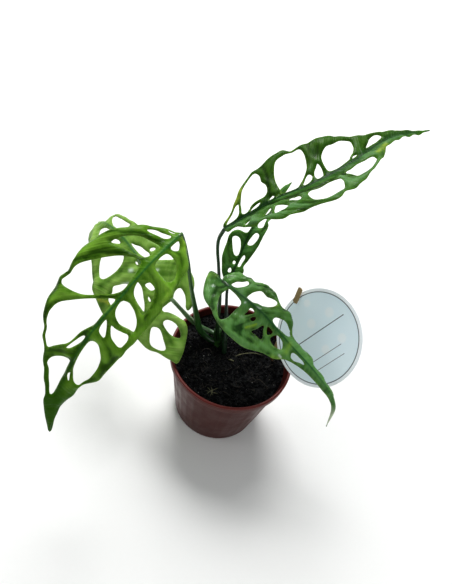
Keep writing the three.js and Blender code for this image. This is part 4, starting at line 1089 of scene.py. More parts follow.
leafRight = {
    "piece": "leafRight", "node": "leaf_right", "slot": "leaf_dark_green",
    "stalk": [(-15.8, 13.2, 76), (-18.4, 16.2, 88), (-21, 20.5, 102), (-25.5, 25.2, 116),
        (-29, 27.2, 129), (-32.1, 25.6, 145), (-33, 24, 157)],
    "stalkRadii": [1.6, 1.5, 1.3, 1.2, 1.1, 1.1, 1.2, 1.4],
    "midrib": [(-31, 21, 170), (-9, 40, 188), (13, 56, 200), (33, 82, 206), (51, 116, 206), (81, 153, 200)],
    "roll": (-10, -10), "fold": (-27, -27), "curl": (0.48, 0.48),
    "waveHeight": 1.8, "waveLength": 40, "wavePhase": (0.1, 0.6),
    "left": [(0, 0), (1.2, 3.2), (4.6, 5.2), (7.7, 6.6), (10.9, 8.6), (13.6, 11.2), (17.2, 14.6),
        (21.7, 18.6), (25.8, 21.8), (29.4, 24), (32.5, 25.2), (36.6, 26.2), (43.8, 28.8), (49, 30.6),
        (57, 32), (64, 30), (73, 29), (80, 27), (96, 25), (107, 21), (114, 15), (124, 11), (132, 9),
        (141, 7), (161, 4), (184, 0)],
    "right": [(0, 0), (2, -5), (8, -6), (12, -12), (18, -18), (24, -20), (33, -28), (42, -29), (56, -30),
        (64, -33), (69, -29), (77, -27), (92, -21), (104, -17), (114, -13), (126, -7), (135, -6),
        (149, -4), (166, -2.5), (184, 0)],
    "holes": [
        [(16.3, 9.6), (13.8, 4.4), (10.9, 2.4), (6, 1.7), (3, 1.7), (4.6, 3.3), (7, 4.8), (9.8, 6.2),
         (13, 8.8)],
        [(34.3, 23.2), (35.7, 20), (35.2, 16), (36.6, 12), (35.7, 8), (33, 5.8), (29.4, 5.2), (26.2, 5.2),
         (22.2, 4.2), (20.2, 2.4), (17.5, 1.7), (15.6, 2.2), (15.4, 4), (19, 11.4), (22.6, 16.6),
         (27.1, 20.4), (31.2, 22.8)],
        [(20.6, 1.2), (23.5, 2.6), (26.7, 3.2), (28.9, 3.1), (26.2, 1.3), (22.6, 1)],
        [(34.2, 1.3), (35.7, 2.6), (37.5, 3.4), (38.4, 2.4), (37, 1.3)],
        [(39.8, 1), (40.4, 2.3), (41.3, 2.8), (41.9, 1.9), (41.2, 1)],
        [(70.9, 27), (71.6, 23), (69.5, 17), (66.4, 12), (61.2, 7.2), (56.6, 3.8), (53.7, 1.8), (50, 1.4),
         (46.5, 1.5), (44.3, 1.9), (42.9, 6), (42.9, 14), (45.2, 21), (47.9, 25), (53.7, 27.6),
         (64.1, 28.4)],
        [(65, 7), (66.4, 5), (65, 3.2), (61.4, 1.7), (58.4, 1.4), (58, 2.2), (59.6, 3.8), (62.4, 6.2)],
        [(74.9, 11), (75.4, 9), (74.9, 5), (73.6, 2.3), (70.9, 1.5), (68.4, 1.5), (68, 2.5), (67.7, 4),
         (69.5, 7), (72.2, 9)],
        [(77.6, 6), (80, 13), (88, 18), (95, 18), (104, 17), (110, 13), (107, 8), (99, 3.5), (89.4, 2),
         (82.6, 1.8), (78.6, 2.7)],
        [(100, 2.5), (102, 3.5), (105, 2.5)], [(117, 3), (123, 6), (131, 7), (135, 4), (128, 2.5)],
        [(13, -10), (16, -9), (18, -11), (15, -12)], [(26, -15), (29, -11), (32, -10), (30, -17)],
        [(33, -19), (36, -11), (40, -12), (43, -19)],
        [(45, -10), (50, -7), (52, -11), (51, -16), (47, -13)],
        [(56, -13), (58, -9), (64, -7), (71, -7), (76, -12), (73, -21), (68, -26), (61, -28), (57, -22)],
        [(85, -6), (90, -5), (102, -5), (108, -8), (104, -14), (95, -17), (86, -16)],
    ],
    "ribHalf": 1.35, "ribRise": 0.5, "rollDown": 0.8, "rollReach": 3.5, "pucker": 0.7, "ruffle": 0.7,
    "twist": 0.9, "shading": 0.4, "lumpShading": 0.3,
    "creases": [
        (2, 0.9, [(7.7, 0), (14.9, 0), (24, -1), (32.1, -2), (40.2, -6), (50.6, -6)]),
        (2, 0.8, [(50.6, -6), (58.2, -6), (66.8, -7), (79.9, -7), (88.9, -8)]),
        (1.4, 0.9, [(50.1, -19), (55.1, -25), (58.7, -28)]),
        (1.2, 0.8, [(39.3, 26), (39.3, 18), (37.9, 11), (36.1, 4)]),
        (1.2, 0.7, [(19, -4), (24, -4), (28.9, -5)]), (1.2, 0.8, [(37.5, -22), (43.8, -25), (49.7, -28)]),
        (1, 0.7, [(43.4, -13), (47.4, -18), (50.6, -21)]),
        (1.5, 0.8, [(81.7, -14), (87.1, -17), (94.3, -16), (102.4, -13)]),
        (1.4, 0.6, [(79, 27), (74.9, 21), (71.3, 14)]), (1.4, 0.6, [(86.7, 24), (81.7, 19), (76.3, 15)]),
    ],
    "ridges": [
        (1, 0.8, [(26.2, 19), (30.7, 22), (33.4, 24)]),
        (1.6, 1, [(16.8, -12), (24, -20), (32.1, -22), (38.9, -25)]),
        (1.2, 0.9, [(42.5, -20), (47.9, -24), (52.4, -27)]),
        (1.6, 0.9, [(50.1, -19), (54.6, -23), (58.2, -26), (62.3, -28), (66.4, -25)]),
        (1.8, 0.9, [(79.9, -7), (75.8, -14), (74.5, -19)]),
        (1.2, 0.6, [(78.1, -21), (84.9, -21), (92.5, -20), (102.9, -16)]),
        (1.5, 0.5, [(130, -4), (142.6, 0), (151.2, 0)]), (1.6, 0.6, [(111.5, 8), (109.2, 3), (105.6, -3)]),
        (1.2, 0.5, [(66.4, 8), (68.6, 11)]),
    ],
    "yellowing": [
        (2.4, 0.6, [(12.2, 11), (17.2, 14), (21.7, 18)]),
        (1.8, 0.5, [(4.6, 5), (7.3, 6)]), (1.5, 0.6, [(113.7, -8), (120.5, -7), (128.6, -5)]),
    ],
    "glints": [],
    "look": {
        "light": (106, 146, 98), "left": (20, 58, 0), "right": (46, 88, 32), "patch": (28, 70, 6),
        "vein": (36, 82, 8), "rim": (116, 158, 50), "midrib": (20, 54, 18), "yellow": (170, 186, 70),
        "under": (78, 126, 56), "shadow": (8, 32, 2), "tip": (56, 104, 20), "tipSpan": (0.9, 0.98),
        "ribFade": (0.7, 1), "crestLightShares": (0.25, 1), "stalk": (18, 46, 26), "stalkLight": (36, 74, 40),
        "stalkFoot": (10, 28, 16), "patchShare": 0.45, "streakShare": 0.5, "veinSpacing": 2.6,
        "veinDepth": 0.2, "gloss": 0.12, "roughness": 0.38,
    },
}

leafRear = {
    "piece": "leafRear", "node": "leaf_rear", "slot": "leaf_dark_green",
    "stalk": [(-4, 4.4, 44), (-5.2, 5, 58), (-6.4, 6, 65), (-9.2, 11, 76), (-12.6, 17.5, 88),
        (-15.8, 22.4, 98.2), (-18.4, 27.2, 108.5)],
    "stalkRadii": [1.7, 2, 2, 1.7, 1.4, 1.1, 1, 1.2],
    "midrib": [(-18, 33, 120), (-17, 47, 134), (-15, 56, 146), (-11.2, 62.8, 150), (-8.2, 65.7, 151.5),
        (-6.7, 69.5, 152.5), (-6.4, 73.6, 153.5), (-6.1, 80, 154.5), (-4.8, 88.5, 154.5), (-2.7, 97.4, 153),
        (0, 110.3, 149)],
    "roll": (0, 5), "fold": (-24, -24), "curl": (0.45, 0.45),
    "waveHeight": 1.2, "waveLength": 26, "wavePhase": (0.2, 0.7),
    "left": [(0, 0), (-4, 1), (-6.2, 4), (-2.2, 8), (3, 10), (8.2, 12), (13.2, 12.4), (18.2, 12.4),
        (23, 13), (26.6, 11.8), (28.8, 9), (29.2, 6), (28.9, 3.6), (29.6, 1.8), (31.6, 1.3),
        (37.5, 1.2), (45, 1.2), (51.2, 1.2), (59.3, 1.2), (65, 1.3), (70.2, 1.6), (75, 2.2), (81.7, 2),
        (89.2, 1.1), (94.4, 0)],
    "right": [(0, 0), (-2.4, -2), (-1, -5.4), (3.8, -7), (6, -5.6), (9, -6.2), (13.5, -7.4), (18.2, -9),
        (23.5, -10), (28.3, -10.4), (32.8, -11), (37, -10.8), (41.7, -9), (45.8, -6.8), (48.6, -3.8),
        (52, -2.1), (55.7, -1.3), (59.6, -1.2), (64.1, -1.3), (70.8, -1.7), (78.6, -1.7), (87, -1),
        (94.4, 0)],
    "holes": [
        [(23.3, 10), (24.9, 8), (24.1, 5), (21.3, 3), (16.6, 1.5), (12.4, 1.5), (11.6, 3), (12.9, 5),
         (18, 8)],
        [(6.8, 3.2), (8.2, 2.4), (7.7, 1.3), (5.9, 1.3), (5.4, 2.4)],
        [(-0.7, 4.2), (1.5, 4.4), (2.6, 3.3), (1, 1.9), (-0.9, 2.2)],
        [(37, -2.2), (39.2, -1.4), (42.8, -1.4), (46.2, -2.2), (46, -3.8), (42.3, -5), (38.6, -6),
         (36.7, -4)],
        [(22, -2), (24.9, -1.8), (29.7, -3), (33, -5), (32.7, -7.6), (31, -8), (26.9, -7), (23, -5)],
        [(5.1, -1.4), (8, -1.3), (12.4, -1.9), (14.4, -2.8), (12.9, -4), (8.8, -3.4), (5.3, -3)],
    ],
    "ribHalf": 1.2, "ribRise": 0.4, "rollDown": 0.6, "rollReach": 3.6, "pucker": 0.5, "ruffle": 0.5,
    "twist": 0.7, "shading": 0.4, "lumpShading": 0.5,
    "creases": [
        (1.2, 0.8, [(19.9, 12), (12.5, 9), (6.1, 5)]), (1.1, 0.7, [(42.3, -8), (38.7, -8), (35.7, -8)]),
        (1, 0.7, [(20.2, -11), (14.7, -8), (10.2, -6)]),
    ],
    "ridges": [
        (1.5, 0.5, [(6.7, 8), (-0.8, 5)]), (1.5, 0.7, [(31, -3), (34, -4)]),
        (2, 0.5, [(20.2, -2), (19.6, -6), (22.7, -9)]), (1, 0.7, [(33.5, -10), (37.9, -10)]),
    ],
    "yellowing": [],
    "glints": [],
    "look": {
        "light": (84, 128, 76), "left": (38, 82, 16), "right": (44, 90, 24), "patch": (64, 110, 44),
        "vein": (74, 122, 46), "rim": (110, 154, 60), "midrib": (20, 52, 20), "yellow": (160, 176, 70),
        "under": (80, 126, 60), "shadow": (12, 38, 6), "tip": (64, 104, 30), "tipSpan": (0.9, 0.98),
        "ribFade": (0.6, 0.95), "crestLightShares": (1, 1), "stalk": (18, 42, 24), "stalkLight": (34, 68, 38),
        "stalkFoot": (10, 26, 16), "patchShare": 0.5, "streakShare": 0.5, "veinSpacing": 2.2,
        "veinDepth": 0.2, "gloss": 0.14, "roughness": 0.42,
    },
}

leafFrontRight = {
    "piece": "leafFrontRight", "node": "leaf_front_right", "slot": "leaf_blue_green",
    "stalk": [(-13.6, 9, 71), (-15.4, 9, 80), (-17.6, 10.2, 93), (-19.5, 11.6, 107), (-21.6, 12.6, 120)],
    "stalkRadii": [1.6, 1.5, 1.3, 1.2, 1.2, 1.5],
    "midrib": [(-21.7, 13.4, 130.5), (-2, 0.6, 135.4), (10.8, -5.3, 134.4), (32.5, -16.2, 128.5),
        (57.1, -25, 117.7), (73.9, -30.9, 102.9), (75.8, -39.8, 86.2)],
    "roll": (6, 16), "fold": (10, 16), "curl": (0.3, 0.36),
    "waveHeight": 1.8, "waveLength": 32, "wavePhase": (0, 0.4),
    "left": [(0, 0), (-4, 3), (-6, 7), (-4, 12), (-2, 18), (6, 20), (11, 19), (16, 23), (25, 25),
        (33, 22), (40, 17), (48, 18), (55, 16), (60, 10), (65, 6), (76, 7), (91, 4), (106, 3), (120, 2),
        (136, 0)],
    "right": [(0, 0), (-4.6, 0.6), (-8.1, 1.8), (-11.7, 1.4), (-13.5, -1), (-13, -5), (-10.5, -9),
        (-6, -14), (0, -18), (9, -20), (16, -23),
        (28, -26), (39, -25), (48, -23), (58, -17), (65, -14), (70, -9), (78, -6), (91, -4), (106, -3),
        (120, -1.5), (136, 0)],
    "holes": [
        [(5, 3), (4, 10), (7, 14), (12, 13), (11, 6)],
        [(22, 2.2), (19.5, 7), (20.2, 13), (23.8, 16), (30.5, 16), (34.8, 16), (38, 15.6), (38.8, 13),
         (37.6, 10), (34.4, 7), (29.1, 3.4), (25.6, 2)],
        [(45, 3), (45, 8), (52, 10), (61, 8), (59, 4), (51, 2)],
        [(7.4, -1.7), (6, -5), (5.4, -8), (12, -17), (18, -21), (22, -17), (22, -9), (22, -4), (16.3, -2),
         (11.4, -1.5)],
        [(28.8, -2.4), (29.1, -5), (28.8, -8.6), (31.6, -6), (33.2, -3.4), (31.2, -2)],
        [(33.7, -8), (34.1, -6.2), (35.8, -4.4), (36.9, -6), (36.2, -8)],
        [(40.8, -13), (42.4, -9), (42.9, -6.2), (43.8, -4.4), (45.8, -7), (49, -10), (49.6, -12),
         (45.1, -12.6)],
        [(46, -3), (50, -7), (51, -3)], [(54, -2.5), (53, -7), (58, -8.5), (63, -6), (60, -2.5)],
        [(70.6, -5), (69.2, -2.2), (71.7, -1.3), (74.5, -1.2), (78.4, -1.2), (80.5, -2), (77.4, -3.2),
         (74.2, -5)],
    ],
    "ribHalf": 1.25, "ribRise": 0.55, "rollDown": 1.2, "rollReach": 4.2, "pucker": 1.2, "ruffle": 1.4,
    "twist": 1.0, "shading": 0.4, "lumpShading": 0.9,
    "creases": [
        (1.2, 1, [(27, -14), (29.1, -20), (36.2, -20), (43.7, -18), (47.6, -18)]),
        (1.6, 0.9, [(30.9, -19), (33.7, -18)]), (1.2, 0.8, [(39.4, -11), (45.8, -12), (51.1, -12)]),
        (0.9, 0.7, [(31.2, -10), (32.3, -7), (34.4, -4)]), (1.2, 0.7, [(5, -6), (8.9, -10), (14.2, -14)]),
        (1.2, 0.8, [(48.3, -10), (54.6, -10), (60, -10)]),
        (1, 0.8, [(0.4, -7), (2.1, -12), (5.7, -16), (9.6, -18)]),
        (1.1, 0.9, [(-1, -6), (2.5, -4), (5, 0)]), (0.7, 0.5, [(-1.8, 4), (-1, 9), (0.4, 13)]),
        (1, 0.9, [(7.5, 2), (11.4, 4), (12.1, 9), (12.4, 14)]),
        (1, 0.8, [(16.7, 17), (20.9, 21), (28.8, 22), (34.1, 19)]),
        (1.1, 1, [(28.4, -19), (31.6, -16), (33.4, -11), (34.8, -7)]),
        (1.3, 0.9, [(24.1, -15), (27.3, -15), (30.5, -16)]),
        (1.5, 1, [(30.9, -21), (33.4, -19), (34.1, -17)]), (1.1, 0.9, [(44, -19), (46.1, -18)]),
        (0.9, 0.6, [(41.9, -15), (46.1, -13), (50.7, -12)]),
        (1.2, 0.7, [(50.4, -17), (55.7, -16), (60, -14)]),
    ],
    "ridges": [
        (1, 0.8, [(20.6, -21), (24.9, -20), (28, -18), (31.2, -12)]),
        (1.1, 0.9, [(26.3, -23), (32.3, -23), (39.7, -21), (46.5, -19), (52.2, -17)]),
        (1, 0.7, [(44, -12), (51.8, -13), (58.6, -12)]), (1, 0.6, [(36.2, -17), (41.9, -15), (48.3, -15)]),
        (1, 0.7, [(6, -10), (10.3, -14), (15.6, -16)]),
        (1.5, 0.6, [(-5.7, -9), (-2.5, -13), (2.1, -17)]), (1.2, 0.7, [(3.2, -9), (6.4, -13), (10.3, -16)]),
        (1, 0.6, [(0.7, 4), (1.1, 9), (3.6, 14)]), (1, 0.6, [(16, 1), (15.3, 7), (16, 13), (18.8, 17)]),
        (1, 0.7, [(13.9, 18), (17.8, 24), (24.5, 25)]), (1.8, 0.8, [(22, -4), (24.9, -3), (27.3, -2)]),
        (1.4, 0.7, [(34.8, 4), (40.1, 7), (44, 11)]), (1, 0.7, [(37.6, 0), (41.5, 3), (43.7, 7)]),
        (1.4, 0.8, [(11, -20), (17, -21), (20.9, -21)]), (1.5, 0.7, [(20.6, -21), (25.6, -20),
        (29.1, -20)]),
        (1.6, 1, [(38, -18), (40.8, -18), (41.5, -19)]), (1.2, 0.7, [(35.5, -23), (42.2, -22),
        (47.6, -20)]),
        (1, 0.5, [(41.5, -3), (45.8, -7), (52.2, -10), (58.2, -10)]),
        (1.4, 0.6, [(52.9, -14), (58.6, -12), (62.5, -10)]),
    ],
    "yellowing": [
        (1.8, 0.3, [(-11.7, -4), (-10.3, 0), (-7.1, 0)]), (1.4, 0.5, [(36.6, 9), (39, 14)]),
        (0.8, 0.8, [(35.8, -14), (37.6, -12), (39.7, -8)]), (1.2, 0.5, [(49, -6), (49.3, -4)]),
        (1.2, 0.6, [(62.5, -14), (64.9, -12), (66.7, -11)]), (1.8, 0.35, [(66, -5), (64.9, -2), (63.9, 0)]),
    ],
    "glints": [
        (0.7, 0.9, [(-3.5, -7), (-2.8, -7)]), (0.45, 0.9, [(24.1, -2), (24.5, -2)]),
        (0.5, 0.9, [(32.7, 1), (33.7, 2)]), (0.5, 0.8, [(64.2, -10), (66, -10)]),
    ],
    "look": {
        "light": (112, 160, 96), "left": (44, 94, 30), "right": (50, 96, 38), "patch": (88, 136, 70),
        "vein": (100, 148, 76), "rim": (124, 164, 78), "midrib": (36, 84, 42), "yellow": (150, 186, 50),
        "under": (96, 138, 72), "shadow": (22, 58, 14), "tip": (190, 204, 176), "tipSpan": (0.86, 0.94),
        "ribFade": (0.55, 0.95), "crestLightShares": (1, 1), "stalk": (26, 60, 22), "stalkLight": (48, 88, 40),
        "stalkFoot": (14, 36, 12), "patchShare": 0.55, "streakShare": 0.5, "veinSpacing": 2.3,
        "veinDepth": 0.2, "gloss": 0.2, "roughness": 0.34,
    },
}


def midribFrames(leaf, places):
    # for each place along the midrib: the point, the way ahead, leftwards and outwards
    line = smoothCurve(leaf["midrib"], perSpan=60)
    run = np.r_[0, np.cumsum(np.linalg.norm(np.diff(line, axis=0), axis=1))]
    length = run[-1]

    def at(where):
        where = np.clip(where, 0, length)
        return np.column_stack([np.interp(where, run, column) for column in line.T])

    point = at(places)
    ahead = at(np.clip(places, 0, length - 0.5) + 0.5) - at(np.clip(places, 0.5, length) - 0.5)
    ahead /= np.linalg.norm(ahead, axis=1)[:, None]
    before = places < 0
    point[before] += ahead[before] * places[before][:, None]
    level = np.cross([0, 0, 1.0], ahead)
    level /= np.linalg.norm(level, axis=1)[:, None]
    share = np.clip(places / length, 0, 1)
    roll = np.radians(leaf["roll"][0] + (leaf["roll"][1] - leaf["roll"][0]) * share)[:, None]
    leftward = np.cos(roll) * level + np.sin(roll) * np.cross(ahead, level)
    return point, ahead, leftward, np.cross(ahead, leftward), length


def onBlade(leaf, flat, rise):
    # the curved place of each flat point, raised by its relief along the surface's own normal
    along, across = flat[:, 0], flat[:, 1]
    point, _, leftward, outward, _ = midribFrames(leaf, along)
    isRight = across < 0
    side = np.where(isRight, -1.0, 1.0)
    width = np.abs(across)
    fold = np.radians(np.where(isRight, leaf["fold"][1], leaf["fold"][0]))
    curl = np.radians(np.where(isRight, leaf["curl"][1], leaf["curl"][0]))
    drop = fold + curl * width
    reach = (np.sin(drop) - np.sin(fold)) / curl
    fall = (np.cos(fold) - np.cos(drop)) / curl
    phase = np.where(isRight, leaf["wavePhase"][1], leaf["wavePhase"][0])
    lift = leaf["waveHeight"] * (width / 30) ** 2 * np.sin(2 * math.pi * (along / leaf["waveLength"] + phase))
    ease = softStep(0, 3, width)  # the normal turns gently from one half to the other
    normal = np.cos(drop * ease)[:, None] * outward + (side * np.sin(drop * ease))[:, None] * leftward
    surface = point + (side * reach)[:, None] * leftward + (lift - fall)[:, None] * outward
    return surface + rise[:, None] * normal


def bladeLoops(leaf, step):
    length = midribFrames(leaf, np.array([0.0]))[4]
    left = evenly(smoothCurve(leaf["left"]), step)
    right = evenly(smoothCurve(leaf["right"]), step)
    for side in (left, right):
        side[:, 0] *= length / side[-1, 0]
    margin = np.vstack([left[:-1], right[::-1][:-1]])
    holes = [evenly(smoothCurve(hole, closed=True), step, closed=True) for hole in leaf["holes"]]
    places = np.arange(step, length - step, step)
    crease = np.column_stack([places, np.zeros(len(places))])
    # no strip between two holes, or between a hole and the margin, is left thinner than this
    for _ in range(24):
        for i, hole in enumerate(holes):
            others = [margin, *holes[:i], *holes[i + 1:]]
            tight = (edgeDistance(hole, others) < blades["thinnest"]) | ~isInside(hole, [margin])
            hole[tight] += (hole.mean(0) - hole[tight]) * blades["shrink"]
    return [margin, *holes], crease, length


def drawn(flat, strokes, bySize=False):
    # how strongly the strokes cover each place; by size, the wider ones count for more
    found = np.zeros(len(flat))
    for size, strength, points in strokes:
        line = smoothCurve(points, perSpan=5)
        away = lineDistance(flat, line[:-1], line[1:])
        weight = strength * (min(size, blades["strokeSize"]) if bySize else 1)
        found = np.maximum(found, weight * np.exp(-(away / size) ** 2))
    return found


def lumpsOf(leaf, flat):
    # the leaf's own large, small and slow unevenness, each from -1 to 1
    seed = 2.0 + len(leaf["piece"])
    spots = np.column_stack([flat, np.zeros(len(flat))])
    return (bumpy(spots, blades["largeLumps"], seed), bumpy(spots, blades["smallLumps"], seed + 4),
            bumpy(spots, 14, seed + 9))


def ribFading(leaf, share):
    return 1 - softStep(*leaf["look"]["ribFade"], share)


def reliefOf(leaf, flat, edge, facing, share, uneven):
    along, across = flat[:, 0], flat[:, 1]
    ribHalf = leaf["ribHalf"] * (1 - 0.62 * share)
    band = np.exp(-(across / ribHalf) ** 2)
    inner = softStep(ribHalf, 3 * ribHalf, np.abs(across))
    large, small, slow = uneven
    rise = leaf["ribRise"] * (1 - 0.6 * share) * ribFading(leaf, share) * band
    rise -= leaf["rollDown"] * np.clip(1 - edge / leaf["rollReach"], 0, 1) ** 2 * inner
    rise += leaf["twist"] * facing * np.clip(1 - edge / 6, 0, 1) * inner
    rise += leaf["pucker"] * large * inner
    rise += 0.4 * leaf["pucker"] * small * inner
    ripple = np.sin(along / 2.1 + across / 5) * np.clip(1 - edge / 3.2, 0, 1)
    rise += leaf["ruffle"] * ripple * inner * (0.5 + 0.5 * slow)
    slant = along - 0.55 * np.abs(across) - 0.012 * across ** 2
    rise += 0.16 * np.cos(2 * math.pi * slant / 7.2) * inner * softStep(0.5, 3, edge)
    rise += blades["strokeRise"] * (drawn(flat, leaf["ridges"], True) - drawn(flat, leaf["creases"], True))
    return rise, band


def reliefShadingOf(leaf, flat, edge, facing, uneven):
    # painted light and shade from the relief: how far a place lies on a swelling (towards 1) or in a dip
    # (towards -1) of the blade, paled on ridges and just inside the edges, darkened in creases and at the very
    # edge, and paled or darkened by which way the nearby edges lie
    swell = 1.5 * uneven[0] + 0.9 * uneven[1]
    ridge = softStep(0.4, 2.6, edge) * (1 - softStep(3.5, 9, edge))
    foldLightAndShade = 1.1 * drawn(flat, leaf["ridges"]) - 1.4 * drawn(flat, leaf["creases"])
    rims = 0.3 * ridge - 0.3 * (1 - softStep(0, 1.4, edge))
    return leaf["lumpShading"] * swell + rims + leaf["shading"] * facing + foldLightAndShade


def growBlade(leaf, material):
    loops, crease, length = bladeLoops(leaf, blades["step"])
    flat, faces = flatSheet(loops, blades["step"], [crease])
    across = flat[:, 1]
    share = np.clip(flat[:, 0] / length, 0, 1)
    edge = edgeDistance(flat, loops)
    facing = edgeFacing(flat, loops, blades["facingReach"])
    uneven = lumpsOf(leaf, flat)
    rise, band = reliefOf(leaf, flat, edge, facing, share, uneven)
    atEdge, within = blades["halfThickness"]
    half = atEdge + (within - atEdge) * softStep(0, 1.2, edge) + blades["ribThickening"] * band
    points, faces = closedSheet(onBlade(leaf, flat, rise + half), onBlade(leaf, flat, rise - half), faces)
    blade = meshPiece(leaf["piece"] + "Blade", points * mm, faces)
    mesh = blade.data

    look = leaf["look"]
    body = reliefShadingOf(leaf, flat, edge, facing, uneven)
    # painted highlight: a paler band about 3 mm inside each edge and hole, where the blade rolls down to its
    # edge, kept clear of the midrib
    edgeHighlightBand = np.clip(0.45 - np.abs(edge - 3.4) / 8, 0, 1)
    values = {
        "leftHalf": softStep(-1.5, 1.5, across),
        "midrib": softStep(0.25, 0.8, band) * ribFading(leaf, share),
        "rim": np.clip(1 - edge / 0.55, 0, 1),
        "edgeHighlight": edgeHighlightBand * softStep(2, 5, np.abs(across)),
        "yellowing": drawn(flat, leaf["yellowing"]),
        # painted shade in dips and creases, and painted light on swellings and ridges
        "hollowShade": np.clip(-body, 0, 1),
        "crest": np.clip(body * np.where(across > 0, *look["crestLightShares"]), 0, 1),
        "glint": drawn(flat, leaf["glints"]),
        "tipward": softStep(*look["tipSpan"], share),
    }
    for name, value in values.items():
        layValues(mesh, name, np.tile(value, 2))
    layValues(mesh, "underside", np.repeat([0, 1], len(flat)))
    layMap(mesh, "bladeMap", flat / mapWidth)
    mesh.materials.append(material)
    mesh.shade_smooth()
    bpy.data.objects.remove(blade)
    return mesh


def growStalk(leaf, material):
    # the stalk, then on under the blade as its midrib
    stalk = evenly(smoothCurve([*leaf["stalk"], leaf["midrib"][0]]), 2.0)
    length = midribFrames(leaf, np.array([0.0]))[4]
    places = np.linspace(0, length, round(length / 2.5))[1:]
    point, _, _, outward, _ = midribFrames(leaf, places)
    share = places / length
    ribRadius = np.interp(share, [0, 1], [leaf["stalkRadii"][-1] * 0.8, 0.3])
    sink = np.interp(places, [0, 8], [0, 1]) * ribRadius * (0.55 + 0.9 * softStep(0.4, 0.75, share))
    path = np.vstack([stalk, point - sink[:, None] * outward])
    given = leaf["stalkRadii"]
    radii = np.interp(np.linspace(0, 1, len(stalk)), np.linspace(0, 1, len(given)), given)
    radii = np.r_[[radii[0]] * 2, radii, ribRadius, [ribRadius[-1]] * 2]
    radii = np.convolve(radii, np.ones(5) / 5, "valid")
    return tube(path * mm, radii * mm, material, Sides=14, Point_Spacing=1.4 * mm, Skin_Wobble=0.18 * mm,
                Wobble_Scale=160.0)


for leaf in (leafFrontLeft, leafRearLeft, leafRight, leafRear, leafFrontRight):
    bladeMaterial = makeBladeMaterial(leaf["piece"] + "Green", leaf["look"])
    stalkMaterial = makeStalkMaterial(leaf["piece"] + "Stalk", leaf["look"])
    piece = joined(leaf["piece"], [growBlade(leaf, bladeMaterial), growStalk(leaf, stalkMaterial)])
    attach(piece, "root")
    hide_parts(leaf["node"])
    print(leaf["piece"], "grown:", len(piece.data.polygons), "faces")


# ---- stem: the short sheathed stem that the stalks leave

stem = {
    "axis": [(-10, 9, 30), (-11.5, 10, 48), (-13, 11, 64), (-14.4, 11.8, 72), (-15.6, 12.4, 78.6)],
    "radii": [2.2, 3.5, 3.7, 3.3, 2.7],
    # the foot tone is painted shade at the foot of the stem
    "look": {"stalk": (28, 60, 18), "stalkLight": (56, 92, 44), "stalkFoot": (16, 36, 18)},
    # dried and fresh sheaths standing at the stalks' feet
    "sheaths": ([(-10.4, 7.6, 63.4), (-9, 7.4, 68), (-7.6, 8.4, 73), (-6.6, 10.4, 77)],
                [(-15.6, 9.4, 63.6), (-17.2, 8.2, 67), (-19.4, 8, 70)]),
    "sheathRadius": 1.3,
}
stemMaterial = makeStalkMaterial("stemSheath", stem["look"])
stemLine = smoothCurve(stem["axis"])
along = np.linspace(0, 1, len(stemLine))
stemRadii = np.interp(along, np.linspace(0, 1, 5), stem["radii"]) * (1 + 0.05 * np.sin(along * 42))
stemRadii *= np.sqrt(np.clip((1 - along) / 0.04, 0.02, 1)) * np.sqrt(np.clip(along / 0.04, 0.02, 1))
stemMeshes = [tube(stemLine * mm, stemRadii * mm, stemMaterial, Sides=20, Point_Spacing=0.8 * mm,
                   Skin_Wobble=0.8 * mm, Wobble_Scale=180.0)]
for line in stem["sheaths"]:
    path = smoothCurve(line)
    radii = stem["sheathRadius"] * mm * np.sin(np.linspace(0.5, math.pi - 0.08, len(path)))
    stemMeshes.append(tube(path * mm, radii, stemMaterial, Sides=10, Point_Spacing=0.8 * mm,
                           Skin_Wobble=0.3 * mm))
stemPiece = joined("stemSheaths", stemMeshes)
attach(stemPiece, "root")
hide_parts("stem")
print("stem made")


# ---- tag: a round card with a slot, held on a flat wooden stick

tag = {
    "radius": 34, "thickness": 0.8, "centre": (51.8, 7.5, 114.1), "azimuth": -42, "elevation": 31,
    "ring": 31.5, "ringWidth": 0.62, "tone": (230, 248, 255), "softTone": (236, 250, 254),
    "edgeTone": (246, 252, 255), "glowTone": (250, 255, 255), "ink": (20, 28, 34), "mapWidth": 100.0,
    # ruled lines: offset, middle, half length, width; pale spots: x, y, radius
    "inkLines": [(-3.4, 0.2, 25.0, 0.55), (12.6, -1.2, 15.0, 0.35), (19.2, -2.4, 15.0, 0.35)], "lineTurn": 11,
    "spots": [(12.5, 14.2, 4.2), (10.1, -0.3, 4.2), (-6.8, 18.5, 4.5), (-10.7, 2.7, 4.5), (-23.5, 9.5, 3.5)],
}
stick = {
    "width": 3.8, "thickness": 1.2, "top": (30, 33, 128), "atSoil": (29, 13, 62), "buried": 30,
    "tone": (172, 152, 112), "dark": (124, 104, 74), "wet": (96, 68, 44), "dampTo": (68, 82),
}


def tagAxes():
    azimuth, elevation = math.radians(tag["azimuth"]), math.radians(tag["elevation"])
    out = np.array([math.sin(azimuth) * math.cos(elevation), -math.cos(azimuth) * math.cos(elevation),
                    math.sin(elevation)])
    right = np.cross([0, 0, 1.0], out)
    right /= np.linalg.norm(right)
    return right, np.cross(out, right), out


def stickAxes():
    top, low = np.array(stick["top"], float), np.array(stick["atSoil"], float)
    along = (top - low) / np.linalg.norm(top - low)
    across = np.cross(along, tagAxes()[2])
    across /= np.linalg.norm(across)
    return top, low - along * stick["buried"], along, across, np.cross(across, along)


def circle(radius, step):
    angles = np.linspace(0, 2 * math.pi, round(2 * math.pi * radius / step), endpoint=False)
    return radius * np.column_stack([np.cos(angles), np.sin(angles)])


